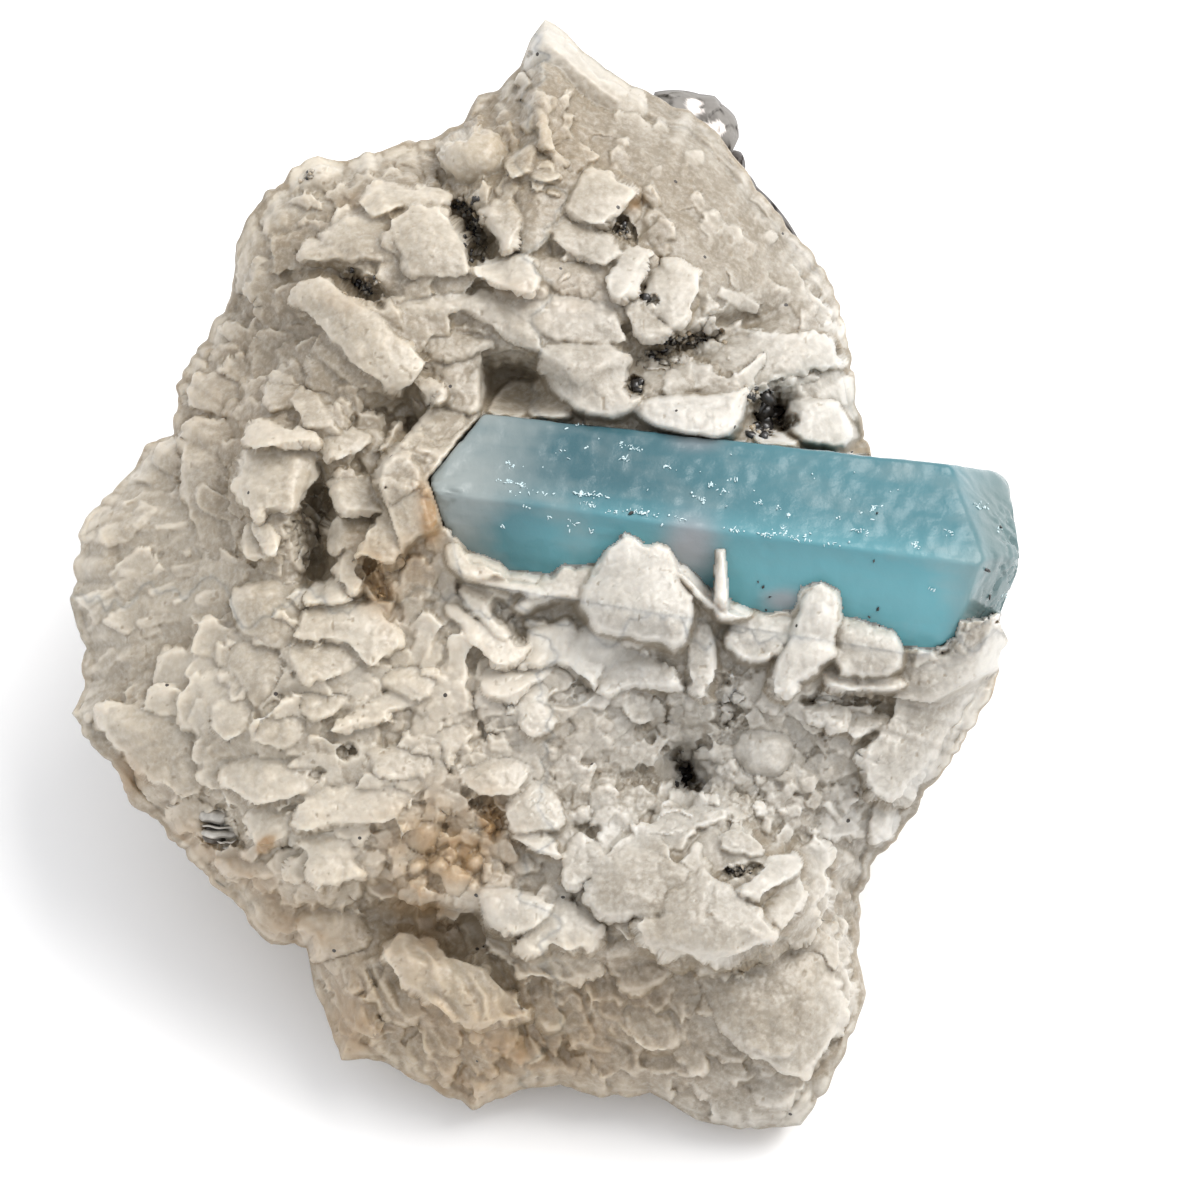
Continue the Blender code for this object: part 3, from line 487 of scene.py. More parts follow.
def own_ragged(shape, luck):
    """A piece of the ragged fields from a random place, so that no two crystals share their outline."""
    spare = (max(full - size, 1) for full, size in zip(cols.shape, shape))
    first_row, first_col = (int(luck.integers(0, room)) for room in spare)
    return ragged[:, first_row:first_row + shape[0], first_col:first_col + shape[1]]


def ground_under(part):
    """The bare depths of a window, and the one at its middle."""
    ground = bare[part]
    return ground, ground[ground.shape[0] // 2, ground.shape[1] // 2]


def lay(layer, part, outside, top, size, tone, polish):
    """Add a crystal to a layer: its top, minus a small quarter-round at the edge, minus a steep fall
    outside. The nearer surface wins, and brings its tone and polish."""
    bevel = 0.08 + 0.075 * min(size, 2.5)
    edge = np.clip(1 + outside / bevel, 0, 1)
    height = top - 0.9 * bevel * (1 - np.sqrt(1 - edge**2 * 0.99)) - SIDE_SLOPE * np.maximum(outside, 0)
    wins = (height > layer.depths[part]) & (outside < 0.08)
    layer.tones[part] = np.where(wins, tone, layer.tones[part])
    layer.polish[part] = np.where(wins, polish, layer.polish[part])
    layer.covered[part] |= outside < 0
    layer.depths[part] = melt(layer.depths[part], height)


def draw_plate(p):
    """A rectangle with round corners, some of them broken off along straight lines. It is bent, and grows
    lobes that meet in sharp notches, because albite sheets end in small curved steps."""
    part = window(p.col, p.row, 0.62 * (p.length + p.width) / CELL + 10)
    if cols[part].size == 0:
        return
    luck = np.random.default_rng(int(p.col * 31 + p.row * 17))
    size = min(p.length, p.width)
    own = own_ragged(cols[part].shape, luck) * min(1.0, 0.25 + 0.3 * size)
    along, across = turned_by(cols[part], rows[part], p.col, p.row, p.turn)
    along = along * CELL + own[0]
    across = across * CELL * (1 + luck.uniform(-0.25, 0.25) * along / p.length) + own[1]
    corner = p.round * size / 2
    over_a = np.abs(along) - p.length / 2 + corner
    over_b = np.abs(across) - p.width / 2 + corner
    outside = np.hypot(np.maximum(over_a, 0), np.maximum(over_b, 0))
    outside += np.minimum(np.maximum(over_a, over_b), 0) - corner
    for _ in range(3 if p.length < 2.3 * p.width else 1):
        way = luck.uniform(0, 2 * math.pi)
        c, s = math.cos(way), math.sin(way)
        reach = (abs(c) * p.length + abs(s) * p.width) / 2 * luck.uniform(0.66, 0.95)
        outside = np.maximum(outside, c * along + s * across - reach)
    outside = outside - own[2] * luck.choice((-1, 1))
    ground, middle = ground_under(part)
    top = 0.6 * ground + 0.4 * middle + p.proud + p.rise * (p.row - rows[part]) * CELL
    lean = np.tan(np.radians((p.tilt, p.roll) + luck.normal(0, 4, 2)))
    top = top + lean[0] * along + lean[1] * across + 0.25 * own[0]
    # Each plate is darker towards its lower side and lighter towards its upper side: painted light from above.
    fade = np.clip((rows[part] - p.row) * CELL / (0.3 + 0.5 * size), -1, 1)
    lay(crowd_layer, part, outside, top, size, p.tone - 0.10 * fade, 0.3)


# %% [markdown]
# The ground of the rock is a crowd of small crystals. They are strewn patch by patch: each patch says how
# many, how big, how far they stand out, and which way they tend to lie. The large ones are drawn first, so
# that the small ones stay in sight.

# %% Strewn crystals
Patch = namedtuple(
    "Patch", "col row half_width half_height turn count length width proud lie spread tone rise"
)
PATCHES = (
    Patch(330, 260, 130, 120, 0, 66, (1.6, 5.4), (0.4, 0.9), (0.1, 0.9), 0, 90, 0.32, 0.12),
    Patch(510, 150, 70, 70, 0, 54, (1.0, 2.8), (0.4, 0.8), (0.3, 1.4), 70, 50, 0.54, 0.1),
    Patch(700, 210, 170, 110, -52, 24, (1.6, 5.0), (0.22, 0.5), (0.04, 0.24), -44, 26, 0.36, 0.02),
    Patch(590, 250, 80, 90, 0, 36, (1.2, 3.6), (0.4, 0.8), (0.2, 1.0), -20, 60, 0.30, 0.1),
    Patch(760, 370, 110, 50, 0, 36, (1.6, 4.0), (0.4, 0.7), (0.3, 0.9), 5, 30, 0.66, 0.1),
    Patch(290, 430, 130, 90, 0, 78, (1.0, 4.2), (0.4, 0.9), (0.2, 1.0), 0, 90, 0.28, 0.1),
    Patch(155, 590, 80, 160, 0, 60, (1.0, 4.0), (0.2, 0.5), (0.02, 0.22), 24, 30, 0.46, 0.03),
    Patch(370, 540, 80, 60, 0, 30, (1.0, 3.0), (0.4, 0.8), (0.3, 1.0), 30, 60, 0.28, 0.1),
    Patch(320, 720, 150, 120, 0, 156, (1.2, 4.6), (0.5, 0.9), (0.3, 1.3), 20, 80, 0.56, 0.1),
    Patch(425, 640, 50, 80, 0, 30, (2.0, 4.6), (0.28, 0.5), (0.4, 1.3), 72, 20, 0.46, 0.0),
    Patch(600, 740, 190, 90, 0, 228, (0.8, 2.8), (0.5, 0.9), (0.2, 1.1), 0, 90, 0.48, 0.05),
    Patch(540, 650, 90, 70, 0, 30, (1.4, 3.2), (0.4, 0.7), (0.3, 1.3), -30, 50, 0.58, 0.1),
    Patch(850, 730, 110, 110, 0, 78, (1.2, 3.6), (0.4, 0.8), (0.2, 0.8), 10, 60, 0.58, 0.0),
    Patch(760, 800, 110, 40, 0, 96, (0.6, 1.4), (0.5, 0.9), (0.2, 0.7), 0, 90, 0.56, 0.0),
    Patch(450, 850, 62, 62, 0, 120, (0.7, 1.7), (0.6, 1.0), (0.3, 1.2), 0, 90, 0.50, 0.0),
    Patch(640, 890, 190, 66, 0, 78, (1.2, 4.2), (0.5, 0.9), (0.2, 1.1), 0, 80, 0.60, -0.12),
    Patch(300, 860, 110, 50, 0, 54, (1.2, 3.2), (0.5, 0.8), (0.3, 1.1), 0, 70, 0.62, 0.0),
    Patch(430, 1010, 130, 80, 0, 72, (1.4, 5.0), (0.3, 0.7), (0.2, 1.0), -62, 30, 0.28, -0.1),
    Patch(600, 1030, 130, 70, 0, 84, (1.2, 5.0), (0.4, 0.8), (0.2, 1.0), -42, 46, 0.28, -0.15),
    Patch(780, 1020, 100, 110, 0, 78, (1.4, 5.0), (0.5, 0.9), (0.2, 0.9), -45, 50, 0.54, -0.12),
    Patch(250, 880, 120, 40, -35, 36, (1.2, 3.0), (0.5, 0.8), (0.3, 0.9), 0, 90, 0.44, 0.0),
    Patch(520, 600, 460, 520, 0, 252, (0.6, 1.5), (0.6, 1.0), (0.05, 0.3), 0, 90, 0.39, 0.05),
)
chance = np.random.default_rng(7)
strewn = []
for patch in PATCHES:
    ring, angle = np.sqrt(chance.random(patch.count)), chance.uniform(0, 2 * math.pi, patch.count)
    lengths = chance.uniform(*patch.length, patch.count)
    table = zip(
        ring * patch.half_width * np.cos(angle), ring * patch.half_height * np.sin(angle), lengths,
        lengths * chance.uniform(*patch.width, patch.count), chance.uniform(*patch.proud, patch.count),
        patch.lie + chance.uniform(-1, 1, patch.count) * patch.spread,
        *chance.normal(0, 7, (2, patch.count)), patch.tone + chance.normal(0, 0.09, patch.count),
    )
    c, s = math.cos(math.radians(patch.turn)), math.sin(math.radians(patch.turn))
    for x, y, length, width, proud, turn, tilt, roll, tone in table:
        place = (patch.col + x * c - y * s, patch.row - x * s - y * c)
        loose = chance.uniform(0.45, 1.0)
        strewn.append(Plate(*place, length, width, proud, turn, tilt, roll, tone, loose, patch.rise))
for plate in sorted(strewn, key=lambda p: -p.length):
    draw_plate(plate)
print(len(strewn), "strewn crystals")

# %% [markdown]
# The crystals that give the piece its look are laid out one by one. Each line holds how far the crystal
# stands out (mm), the tones at its lower and upper edge, and then the corners as columns and rows. The upper tone
# is the lighter, as painted light from above. Their upper edges sink into the rock and the lower ones stand free,
# like tiles on a roof.

# %% Named crystals
OUTLINES = """
3.0 .78 .95 289 296 304 275 324 273 356 299 378 314 392 332 420 354 429 364 414 386 396 398 352 362 318 330
1.9 .38 .46 303 314 322 337 315 349 321 360 350 388 385 396 400 396 370 350 330 320
3.3 .55 .62 415 388 421 379 432 373 442 380 449 392 440 402 431 403 420 396
1.2 .36 .44 410 395 424 402 440 406 468 416 455 432 440 444 426 440 418 422
1.7 .38 .50 436 372 452 360 470 356 486 350 482 400 472 416 452 410 440 402 449 392 442 380
2.4 .32 .72 300 252 304 243 322 241 319 234 345 216 366 213 384 226 398 245 400 264 350 258 304 262
2.6 .28 .76 388 220 400 210 430 206 442 210 462 236 472 264 470 278 440 277 408 279 398 245
2.4 .60 .82 358 204 366 190 380 184 412 193 422 184 442 184 453 196 444 206 404 206 376 218 362 210
1.7 .34 .45 293 170 300 160 314 155 332 156 343 166 345 180 330 186 298 180
2.0 .40 .52 345 182 348 166 354 152 372 150 381 160 390 176 366 186
1.8 .42 .62 378 164 410 150 426 142 438 142 442 160 452 180 436 182 414 190 384 178
1.4 .36 .50 262 214 282 190 302 190 348 206 352 212 332 219 318 236 300 241 284 232 262 238
1.2 .34 .46 236 240 246 226 284 232 300 242 302 262 284 276 262 292 240 296 234 270
1.2 .46 .56 205 330 218 314 238 312 252 326 240 344 222 352
1.6 .34 .42 262 404 266 386 304 384 322 388 332 400 318 412 290 408 272 414
2.2 .42 .52 288 402 298 392 312 390 334 414 334 424 320 430 306 428
3.4 .84 .98 242 432 246 422 256 419 292 425 318 434 316 446 298 443 258 451 244 446
3.2 .58 .86 242 446 258 451 300 443 312 446 319 462 312 490 300 514 268 508 258 520 240 500 234 488 239 470
2.2 .46 .62 318 446 336 430 366 430 374 440 360 454 340 464 326 458
2.6 .55 .74 255 520 262 520 276 530 281 542 280 556 270 558 254 530
2.0 .42 .58 240 524 252 519 256 535 276 562 262 561 244 558
1.4 .32 .40 276 530 296 515 314 520 318 545 306 578 284 556
3.0 .42 .60 330 488 337 480 352 476 372 477 386 484 398 500 386 512 346 514 338 504
2.0 .34 .44 324 524 342 512 368 515 376 528 352 546 330 556
3.0 .42 .66 370 526 392 504 412 486 430 485 438 494 440 530 412 540 388 566 362 556 352 560 366 546
2.6 .60 .76 332 570 340 556 366 536 376 546 362 566 370 574 352 600 338 580
3.2 .80 .96 304 600 308 590 330 574 342 582 352 602 322 606
3.0 .48 .76 304 606 330 602 356 602 376 606 404 634 402 646 376 668 366 664 340 640 296 644
2.4 .42 .55 288 650 300 640 344 640 362 656 364 668 322 682 306 684 296 672
2.0 .44 .54 226 604 240 590 262 580 304 584 308 600 296 640 280 650 240 632
1.8 .36 .48 228 650 240 636 282 650 290 662 270 700 250 704 232 670
1.4 .26 .32 180 424 200 416 226 420 236 440 228 490 240 540 240 566 206 560 182 500
1.0 .34 .44 182 384 200 374 240 372 264 398 250 412 226 420 184 404
1.0 .44 .54 122 476 150 454 178 436 184 450 186 500 136 480
2.0 .54 .66 492 122 500 102 508 110 516 118 512 130 502 137
1.4 .38 .46 470 102 476 93 484 95 492 108 490 122 478 124
1.6 .46 .56 496 98 502 88 514 82 524 84 527 104 520 118 508 110
2.2 .58 .72 533 108 540 106 548 120 560 148 552 153 541 147
2.6 .62 .78 504 166 510 156 532 144 538 153 524 176 510 182
2.2 .58 .70 528 180 536 168 546 165 558 173 562 179 545 184
1.6 .46 .58 558 142 576 140 592 146 598 158 574 172 562 168
3.0 .60 .80 567 208 569 196 585 172 592 166 604 170 640 192 628 206 618 211 607 225 590 226 577 220
2.4 .42 .58 550 234 566 212 582 220 628 250 614 262 606 270 568 252
3.0 .64 .78 607 276 626 250 638 248 648 252 645 264 626 298 615 300 609 290
2.8 .52 .78 652 272 662 262 676 260 690 264 701 275 699 290 685 322 676 331 660 322 640 296
2.4 .52 .66 620 306 628 296 640 292 650 310 674 334 656 338 640 342
2.8 .50 .66 480 214 489 204 498 198 504 202 511 196 519 212 521 230 508 255 491 232
1.6 .30 .40 516 190 532 182 564 188 568 202 541 251 526 253 516 244 522 225
1.2 .34 .42 536 262 552 256 576 258 592 268 590 286 546 288
3.0 .76 .94 471 264 482 259 520 254 530 258 533 268 543 280 538 290 522 297 488 280 474 277
2.0 .56 .82 396 302 428 294 490 292 512 300 546 340 540 354 522 348 482 318 456 312 408 318
1.4 .42 .56 418 336 440 330 470 334 496 344 468 362 448 364 430 356
1.8 .64 .84 508 308 528 296 560 292 610 304 632 340 604 346 548 340
2.8 .88 1.0 536 352 552 342 622 346 634 354 622 384 626 396 642 399 618 421 578 412 546 380
2.9 .90 1.0 620 404 642 398 702 396 734 391 750 392 740 418 730 434 718 438 654 426
1.8 .56 .74 698 342 735 336 802 334 832 338 851 366 800 372 776 380 750 391 722 385
3.0 .64 .82 784 412 791 400 808 396 828 398 842 404 854 446 806 445 790 430
1.8 .54 .64 762 382 800 374 852 370 857 424 842 404 825 397 790 392
3.4 .92 .98 752 430 766 424 782 432 797 444 780 447 756 442
3.0 .64 .82 446 548 456 540 474 558 490 556 508 574 540 574 536 584 500 574 470 580 447 566
3.4 .72 .92 470 568 486 562 500 566 536 588 548 596 536 600 498 586 470 578
2.8 .58 .74 540 576 566 564 600 566 580 586 584 600 556 596 524 612 516 606
2.8 .56 .70 462 584 476 582 488 588 496 600 494 616 512 634 506 640 464 610
3.2 .62 .86 444 608 458 606 480 622 504 640 528 642 530 650 508 668 494 664 466 644 462 630
3.0 .76 1.0 528 640 530 630 556 622 570 620 604 664 600 678 592 690 562 662 540 668 516 668 532 652
2.8 .74 .92 477 684 480 672 490 666 516 668 548 664 560 668 534 684 500 700 486 696
2.4 .58 .80 512 700 520 688 534 682 546 684 552 712 560 726 536 742 524 736
3.4 .46 .98 596 562 616 538 628 534 668 548 682 568 678 580 696 604 684 650 640 636 600 634 582 606 584 590
3.2 .72 .92 676 562 690 568 728 600 742 606 748 614 728 620 700 600 678 578
3.6 .36 .52 484 416 496 392 522 376 538 380 528 416
3.0 .42 .60 524 418 536 376 556 384 570 404 572 420
4.2 .80 .92 714 584 717 550 724 549 730 568 731 600 722 606 714 598
2.8 .46 .74 740 616 748 610 762 616 792 616 794 634 776 660 744 662 720 640
2.4 .62 .88 600 650 620 644 640 650 684 676 680 690 640 686 606 694 596 690
2.2 .48 .62 694 624 706 614 712 630 718 672 700 700 690 690 686 664
3.4 .60 .92 798 616 800 598 820 585 832 590 840 600 842 624 834 640 836 656 776 700 770 690 792 626
2.6 .44 .66 838 616 866 624 896 634 902 648 900 674 842 676 836 660
2.8 .60 .76 824 676 834 668 842 676 900 676 904 684 860 692 826 688
2.2 .46 .68 802 706 836 700 848 708 852 718 846 732 806 724
2.4 .60 .72 850 712 884 712 892 720 856 744 846 738
2.8 .78 .92 904 664 918 650 944 648 958 630 1000 616 1008 650 984 704 962 752 898 806 866 790 862 750 888 724
1.8 .70 .78 876 776 892 780 900 830 884 842 868 842 872 810
2.6 .66 .86 214 780 222 766 262 752 318 756 330 770 300 800 256 806 232 792
2.4 .68 .88 290 806 322 790 376 776 404 778 420 790 394 822 350 822 300 836
2.2 .62 .78 242 824 250 808 274 802 300 804 302 820 278 842 248 846
2.8 .58 .88 292 842 328 830 372 828 384 836 352 856 368 880 346 882 336 888 326 884 318 892 304 868 308 856
2.4 .60 .82 328 734 334 720 368 704 400 684 412 690 414 704 390 712 392 722 350 728
2.2 .52 .70 298 704 302 690 316 686 346 690 356 698 326 720 302 716
2.2 .58 .72 376 682 392 666 414 660 440 680 432 696 416 704
2.2 .50 .66 212 702 246 692 256 702 244 730 226 748 210 724
2.0 .54 .70 256 724 262 704 290 686 298 696 312 728 284 750 250 744
2.0 .50 .62 438 736 442 724 456 722 478 736 456 750 450 772 442 750
2.2 .56 .72 456 772 490 758 512 758 532 768 516 794 486 800 458 784
2.0 .50 .64 366 750 384 744 410 744 436 754 432 776 400 780 376 776
2.0 .48 .60 396 820 404 806 418 800 430 806 412 830 400 840
2.4 .60 .82 504 806 524 784 534 778 558 796 562 828 540 832 508 834
2.8 .78 .96 506 836 524 828 540 830 562 848 560 860 530 850
2.4 .60 .76 562 880 566 846 574 832 590 830 606 858 598 876 570 890
2.8 .60 .80 584 896 604 856 616 846 636 844 690 868 690 882 664 894 668 906 660 918 606 918
3.4 .66 .90 664 896 688 880 700 868 724 882 774 926 776 940 716 962 704 956 672 960 644 944 632 920 662 918
3.8 .78 .96 738 894 744 882 780 850 794 848 806 870 768 894 756 904
3.2 .68 .84 758 906 784 886 800 874 808 900 788 922 780 932
2.2 .60 .76 640 836 648 822 684 806 710 802 728 808 724 820 668 836
2.0 .50 .66 716 832 730 822 748 826 768 850 758 858 722 852
3.6 .90 1.0 478 898 482 888 494 884 556 900 550 914 530 932 500 934 488 928
3.2 .80 .98 512 952 530 930 556 900 566 896 604 924 590 950 580 948 568 956 552 942 544 952 534 956
2.2 .56 .76 514 962 550 944 570 958 584 952 606 966 600 976 560 980 522 976
1.8 .36 .52 596 916 628 922 640 940 676 966 668 980 630 996 608 966
2.8 .52 .82 380 952 396 930 410 930 474 962 508 990 534 1014 500 1020 486 1026 456 1026 428 1000 398 980
2.4 .42 .62 620 1004 640 996 684 1008 690 1026 684 1044 652 1056 628 1034
2.8 .48 .68 690 966 744 962 800 950 826 958 850 1010 820 1060 800 1080 744 1050 714 1016
2.9 .48 .62 738 1030 752 1014 770 1012 790 1020 796 1056 756 1054
1.4 .28 .38 470 1090 478 1060 494 1036 520 1022 548 1030 584 1074 540 1092 484 1108
1.8 .34 .46 298 924 304 908 320 898 364 914 376 946 340 960 304 944
1.4 .30 .38 238 886 262 880 290 884 306 900 296 934 300 950 262 934
1.6 .44 .52 206 858 250 856 300 872 312 884 284 876 240 882
1.8 .44 .58 96 708 120 700 180 700 206 706 218 744 206 786 194 800 146 780 104 738
"""


def draw_outline(proud, tone_low, tone_high, *corners):
    """A crystal with straight sides between its corners, each side a little bent. The way to the outline is
    the smallest way to any side, and it is negative inside: a point is inside if a line from it to the
    right crosses an odd number of sides."""
    corners = np.array(corners).reshape(-1, 2)
    following = np.roll(corners, -1, axis=0)
    corners = np.stack((0.8 * corners + 0.2 * following, 0.2 * corners + 0.8 * following), 1).reshape(-1, 2)
    centre = corners.mean(0)
    part = window(*centre, np.abs(corners - centre).max() + 14)
    own = own_ragged(cols[part].shape, np.random.default_rng(int(corners.sum())))
    x, y = cols[part] + 9 * own[0], rows[part] + 9 * own[1]
    away = np.full(x.shape, 999.0)
    inside = np.zeros(x.shape, bool)
    for (col, row), (next_col, next_row) in zip(corners, np.roll(corners, -1, axis=0)):
        side_col, side_row = next_col - col, next_row - row
        share = np.clip(((x - col) * side_col + (y - row) * side_row) / (side_col**2 + side_row**2), 0, 1)
        away = np.minimum(away, np.hypot(x - col - share * side_col, y - row - share * side_row))
        spans = (row > y) != (next_row > y)
        inside ^= spans & (x < col + (y - row) * side_col / (side_row if side_row else 1.0))
    outside = np.where(inside, -away, away) * CELL - 0.45 * own[2]
    size = -2 * float(outside.min())
    up = np.clip((corners[:, 1].max() - rows[part]) / np.ptp(corners[:, 1]), 0, 1)
    ground, middle = ground_under(part)
    sag = 0.10 * size * (1 - np.clip(-outside / (0.5 * size), 0, 1)) ** 2
    top = 0.5 * ground + 0.5 * middle + proud * (1.0 - 0.62 * up) + 0.25 * own[0] - sag
    # The tone runs from the lower edge to the upper, lighter one: painted light from above.
    lay(named_layer, part, outside, top, size, tone_low + (tone_high - tone_low) * up, 0.6)


for line in OUTLINES.split("\n"):
    if line:
        draw_outline(*(float(word) for word in line.split()))
print(OUTLINES.count("\n") - 1, "named crystals")

# %% [markdown]
# Some crystals are too rounded to be plates: the peak, and the knobs along the crest and below the
# aquamarine. Each is the near half of a squashed ball.

# %% Knobs
Knob = namedtuple("Knob", "col row along across proud turn tone")
KNOBS = (
    Knob(552, 52, 2.6, 2.0, 1.6, 88, 0.80), Knob(585, 78, 5.6, 3.0, 0.9, -50, 0.74),
    Knob(478, 158, 2.6, 2.2, 3.0, 0, 0.95), Knob(319, 178, 2.0, 1.8, 2.0, 0, 0.5),
    Knob(368, 168, 1.4, 1.4, 2.0, 0, 0.58), Knob(764, 752, 2.3, 1.9, 1.6, -20, 0.62),
    Knob(456, 880, 1.3, 1.2, 1.9, 0, 0.70), Knob(424, 832, 1.7, 1.4, 1.7, 30, 0.60),
    Knob(332, 930, 2.7, 2.3, 1.9, 0, 0.55), Knob(600, 650, 3.0, 2.0, 2.0, 30, 0.72),
    Knob(476, 862, 1.0, 0.9, 1.6, 0, 0.62), Knob(440, 866, 1.1, 0.9, 1.7, 0, 0.60),
    Knob(418, 868, 1.0, 0.8, 1.5, 0, 0.6), Knob(484, 820, 1.1, 0.9, 1.2, 60, 0.5),
)


SUNK = 2.6


def draw_knob(k):
    """Height of a squashed ball: its middle, plus its thickness times the root of one minus the squared
    way out from its centre. It reaches down into the rock by the sunk length."""
    part = window(k.col, k.row, max(k.along, k.across) / CELL + 4)
    along, across = turned_by(cols[part], rows[part], k.col, k.row, k.turn)
    bend = own_ragged(cols[part].shape, np.random.default_rng(int(k.col)))
    out = ((along * CELL + bend[0]) / k.along) ** 2 + ((across * CELL + bend[1]) / k.across) ** 2
    _, middle = ground_under(part)
    thick = (k.proud + SUNK) / 2
    height = middle + k.proud - thick + thick * np.sqrt(np.clip(1 - out, 0, 1))
    # The knob is lighter at its top and darker at its bottom: painted light from above.
    tone = k.tone - 0.12 * np.clip((rows[part] - k.row) * CELL / k.across, -1, 1)
    lay(named_layer, part, (np.sqrt(out) - 1) * k.across, height, 2.0, tone, 0.15)


for knob in KNOBS:
    draw_knob(knob)
print("knobs:", len(KNOBS))

# %% [markdown]
# Now the two layers become one skin. A large crystal hides what lies less than a third of a millimetre over
# it, and elsewhere the two melt into each other. Near the rim the crystals fade, so the outline stays.

# %% One skin from two layers
shows = named_layer.covered & (named_layer.depths > crowd_layer.depths - 0.35)
depths = np.where(shows, named_layer.depths, melt(crowd_layer.depths, named_layer.depths))
shows |= named_layer.depths > crowd_layer.depths
depths = bare + (depths - bare) * np.sqrt(np.clip((1 - shares) / 0.04, 0, 1))
tones = np.where(shows, named_layer.tones, crowd_layer.tones)
polish = np.where(shows, named_layer.polish, crowd_layer.polish)
print("share of named crystals:", round(float(shows[shares < 1].mean()), 2))

# %% [markdown]
# ## Pits, grain and weathering
# Between the crystals the surface has small facets and a fine sugary grain, and on the calm sheets fine
# blades that all lie one way. All of it is added as depth, so it is really there in the mesh.

# %% Fine relief
depths = 0.45 * depths + 0.55 * blurred(depths, 1)
broken_flank = bell(cols, rows, 470, 1030, 210, 90, 2)
for share, lie, height in ((smooth_sheet, -48, 0.07), (left_shelf, 24, 0.10), (broken_flank, -62, 0.26)):
    along, across = turned_by(cols, rows, 0, 0, lie)
    along, across = along * CELL + 6 * ragged[0], across * CELL + 2 * ragged[1]
    blades = value_noise(np.stack((along / 2.2, across / 0.5, 0 * along), -1), 35)
    coarse_blades = value_noise(np.stack((along / 4.5, across / 1.2, 0 * along), -1), 36)
    depths = depths + height * share * (blades + 1.8 * np.abs(coarse_blades))
grain_places = spot(cols, rows, depths)
small, small_edge = facets(grain_places / 0.62, 51, 0.7)
tiny, _ = facets(grain_places / 0.3, 61, 0.6)
grainy = np.maximum(bell(cols, rows, 690, 760, 190, 85, 2), bell(cols, rows, 450, 850, 55, 50, 2))
creases = 0.20 * np.abs(value_noise(grain_places / 1.5, 91))
creases = creases + 0.08 * np.abs(value_noise(grain_places / 0.6, 93))
depths = depths + calm * creases
calm = calm * polish
depths = depths + calm * (0.08 + 0.13 * grainy) * small - 0.04 * grainy * np.exp(-small_edge / 0.08)
depths = depths + calm * (0.035 + 0.05 * grainy) * tiny + 0.05 * value_noise(grain_places / 1.0, 71)
depths = depths + 0.009 * value_noise(grain_places / 0.28, 72)
pocks = value_noise(grain_places / 0.34, 75) + 0.35 * value_noise(grain_places / 2.2, 76)
pocks = smooth_step((pocks - 0.80) / 0.12)
depths = depths - 0.07 * pocks
print("points in pocks:", int((pocks > 0.5).sum()))

# %% [markdown]
# The pits that hold schorl or rust are cut last. Each is a rounded box with an uneven edge and floor, because
# the real ones are gaps between straight-sided crystals.

# %% Pits
Pit = namedtuple("Pit", "col row half_width half_height turn depth")
PITS = (
    Pit(770, 413, 19, 18, 0, 2.4), Pit(684, 346, 38, 12, 24, 1.6), Pit(634, 388, 10, 8, 30, 1.3),
    Pit(647, 298, 6, 5, 0, 0.7), Pit(622, 232, 13, 8, -30, 1.2), Pit(474, 230, 11, 30, 24, 1.2),
    Pit(364, 287, 22, 9, -28, 1.4), Pit(684, 776, 9, 19, 8, 2.2), Pit(736, 871, 15, 7, 10, 1.0),
    Pit(322, 500, 7, 26, 4, 1.4), Pit(305, 540, 14, 26, 20, 0.9), Pit(503, 608, 9, 13, 20, 0.6),
    Pit(345, 752, 9, 10, 20, 0.9), Pit(377, 580, 10, 22, 20, 0.9),
    Pit(572, 694, 20, 11, 20, 0.5), Pit(852, 699, 34, 4, 2, 0.8), Pit(500, 722, 12, 10, 0, 0.4),
    Pit(720, 700, 18, 22, 20, 0.9), Pit(223, 830, 22, 17, 0, 0.8), Pit(318, 768, 6, 5, 30, 0.5),
    Pit(492, 822, 13, 20, 20, 1.3),
)
for pit in PITS:
    part = window(pit.col, pit.row, 2.2 * max(pit.half_width, pit.half_height))
    along, across = turned_by(cols[part], rows[part], pit.col, pit.row, pit.turn)
    along = (along + 26 * ragged[0][part]) / pit.half_width
    across = (across + 26 * ragged[1][part]) / pit.half_height
    out = np.cbrt(np.abs(along + 0.35 * across) ** 3 + np.abs(across - 0.2 * along) ** 3)
    out = out + 1.1 * ragged[2][part]
    floor_share = 0.8 + 0.5 * small[part]
    depths[part] -= pit.depth * floor_share * smooth_step((1.2 - out) / 0.4)
print("pits:", len(PITS))


# %% [markdown]
# Dust stays in hollows, and the hollows are darkened further as painted shade; edges are made pale as painted
# highlight. So each point is told how far it lies below its blurred surroundings. On top of that, some parts of
# the real piece are lighter or darker than their form explains, and a few soft bells shift the tone there.

# %% How deep each point lies
seen = np.where(in_prism & (below < 0), np.maximum(depths, near - 1.0), depths)
fine_hollow = blurred(seen, 2) - seen
wide_hollow = blurred(seen, 12) - seen
# Hollows and pocks are darkened by this field: brown dust, and painted shade where less light reaches.
dirt = np.clip(fine_hollow / 0.22 - 0.3, 0, 1) * 0.45 + np.clip(wide_hollow / 2.0 - 0.45, 0, 1) * 0.4
dirt = np.maximum(dirt, 0.5 * pocks)
# Convex edges are made lighter: painted highlight.
lit_edge = np.clip(-fine_hollow / 0.12, 0, 1) + 0.8 * np.clip(seen / 0.5 - blurred(seen, 5) / 0.5, 0, 1)
patchy = value_noise(grain_places / 0.9, 73) + 0.7 * value_noise(grain_places / 0.4, 74)
# sunken marks wide hollows; next the tone rises on lit edges and falls in these hollows: painted highlight and
# painted shade.
sunken = np.clip(wide_hollow / 1.3, -0.5, 1)
tones = np.clip(0.84 * tones - 0.07 + 0.26 * lit_edge + 0.09 * patchy - 0.18 * sunken, 0, 1)
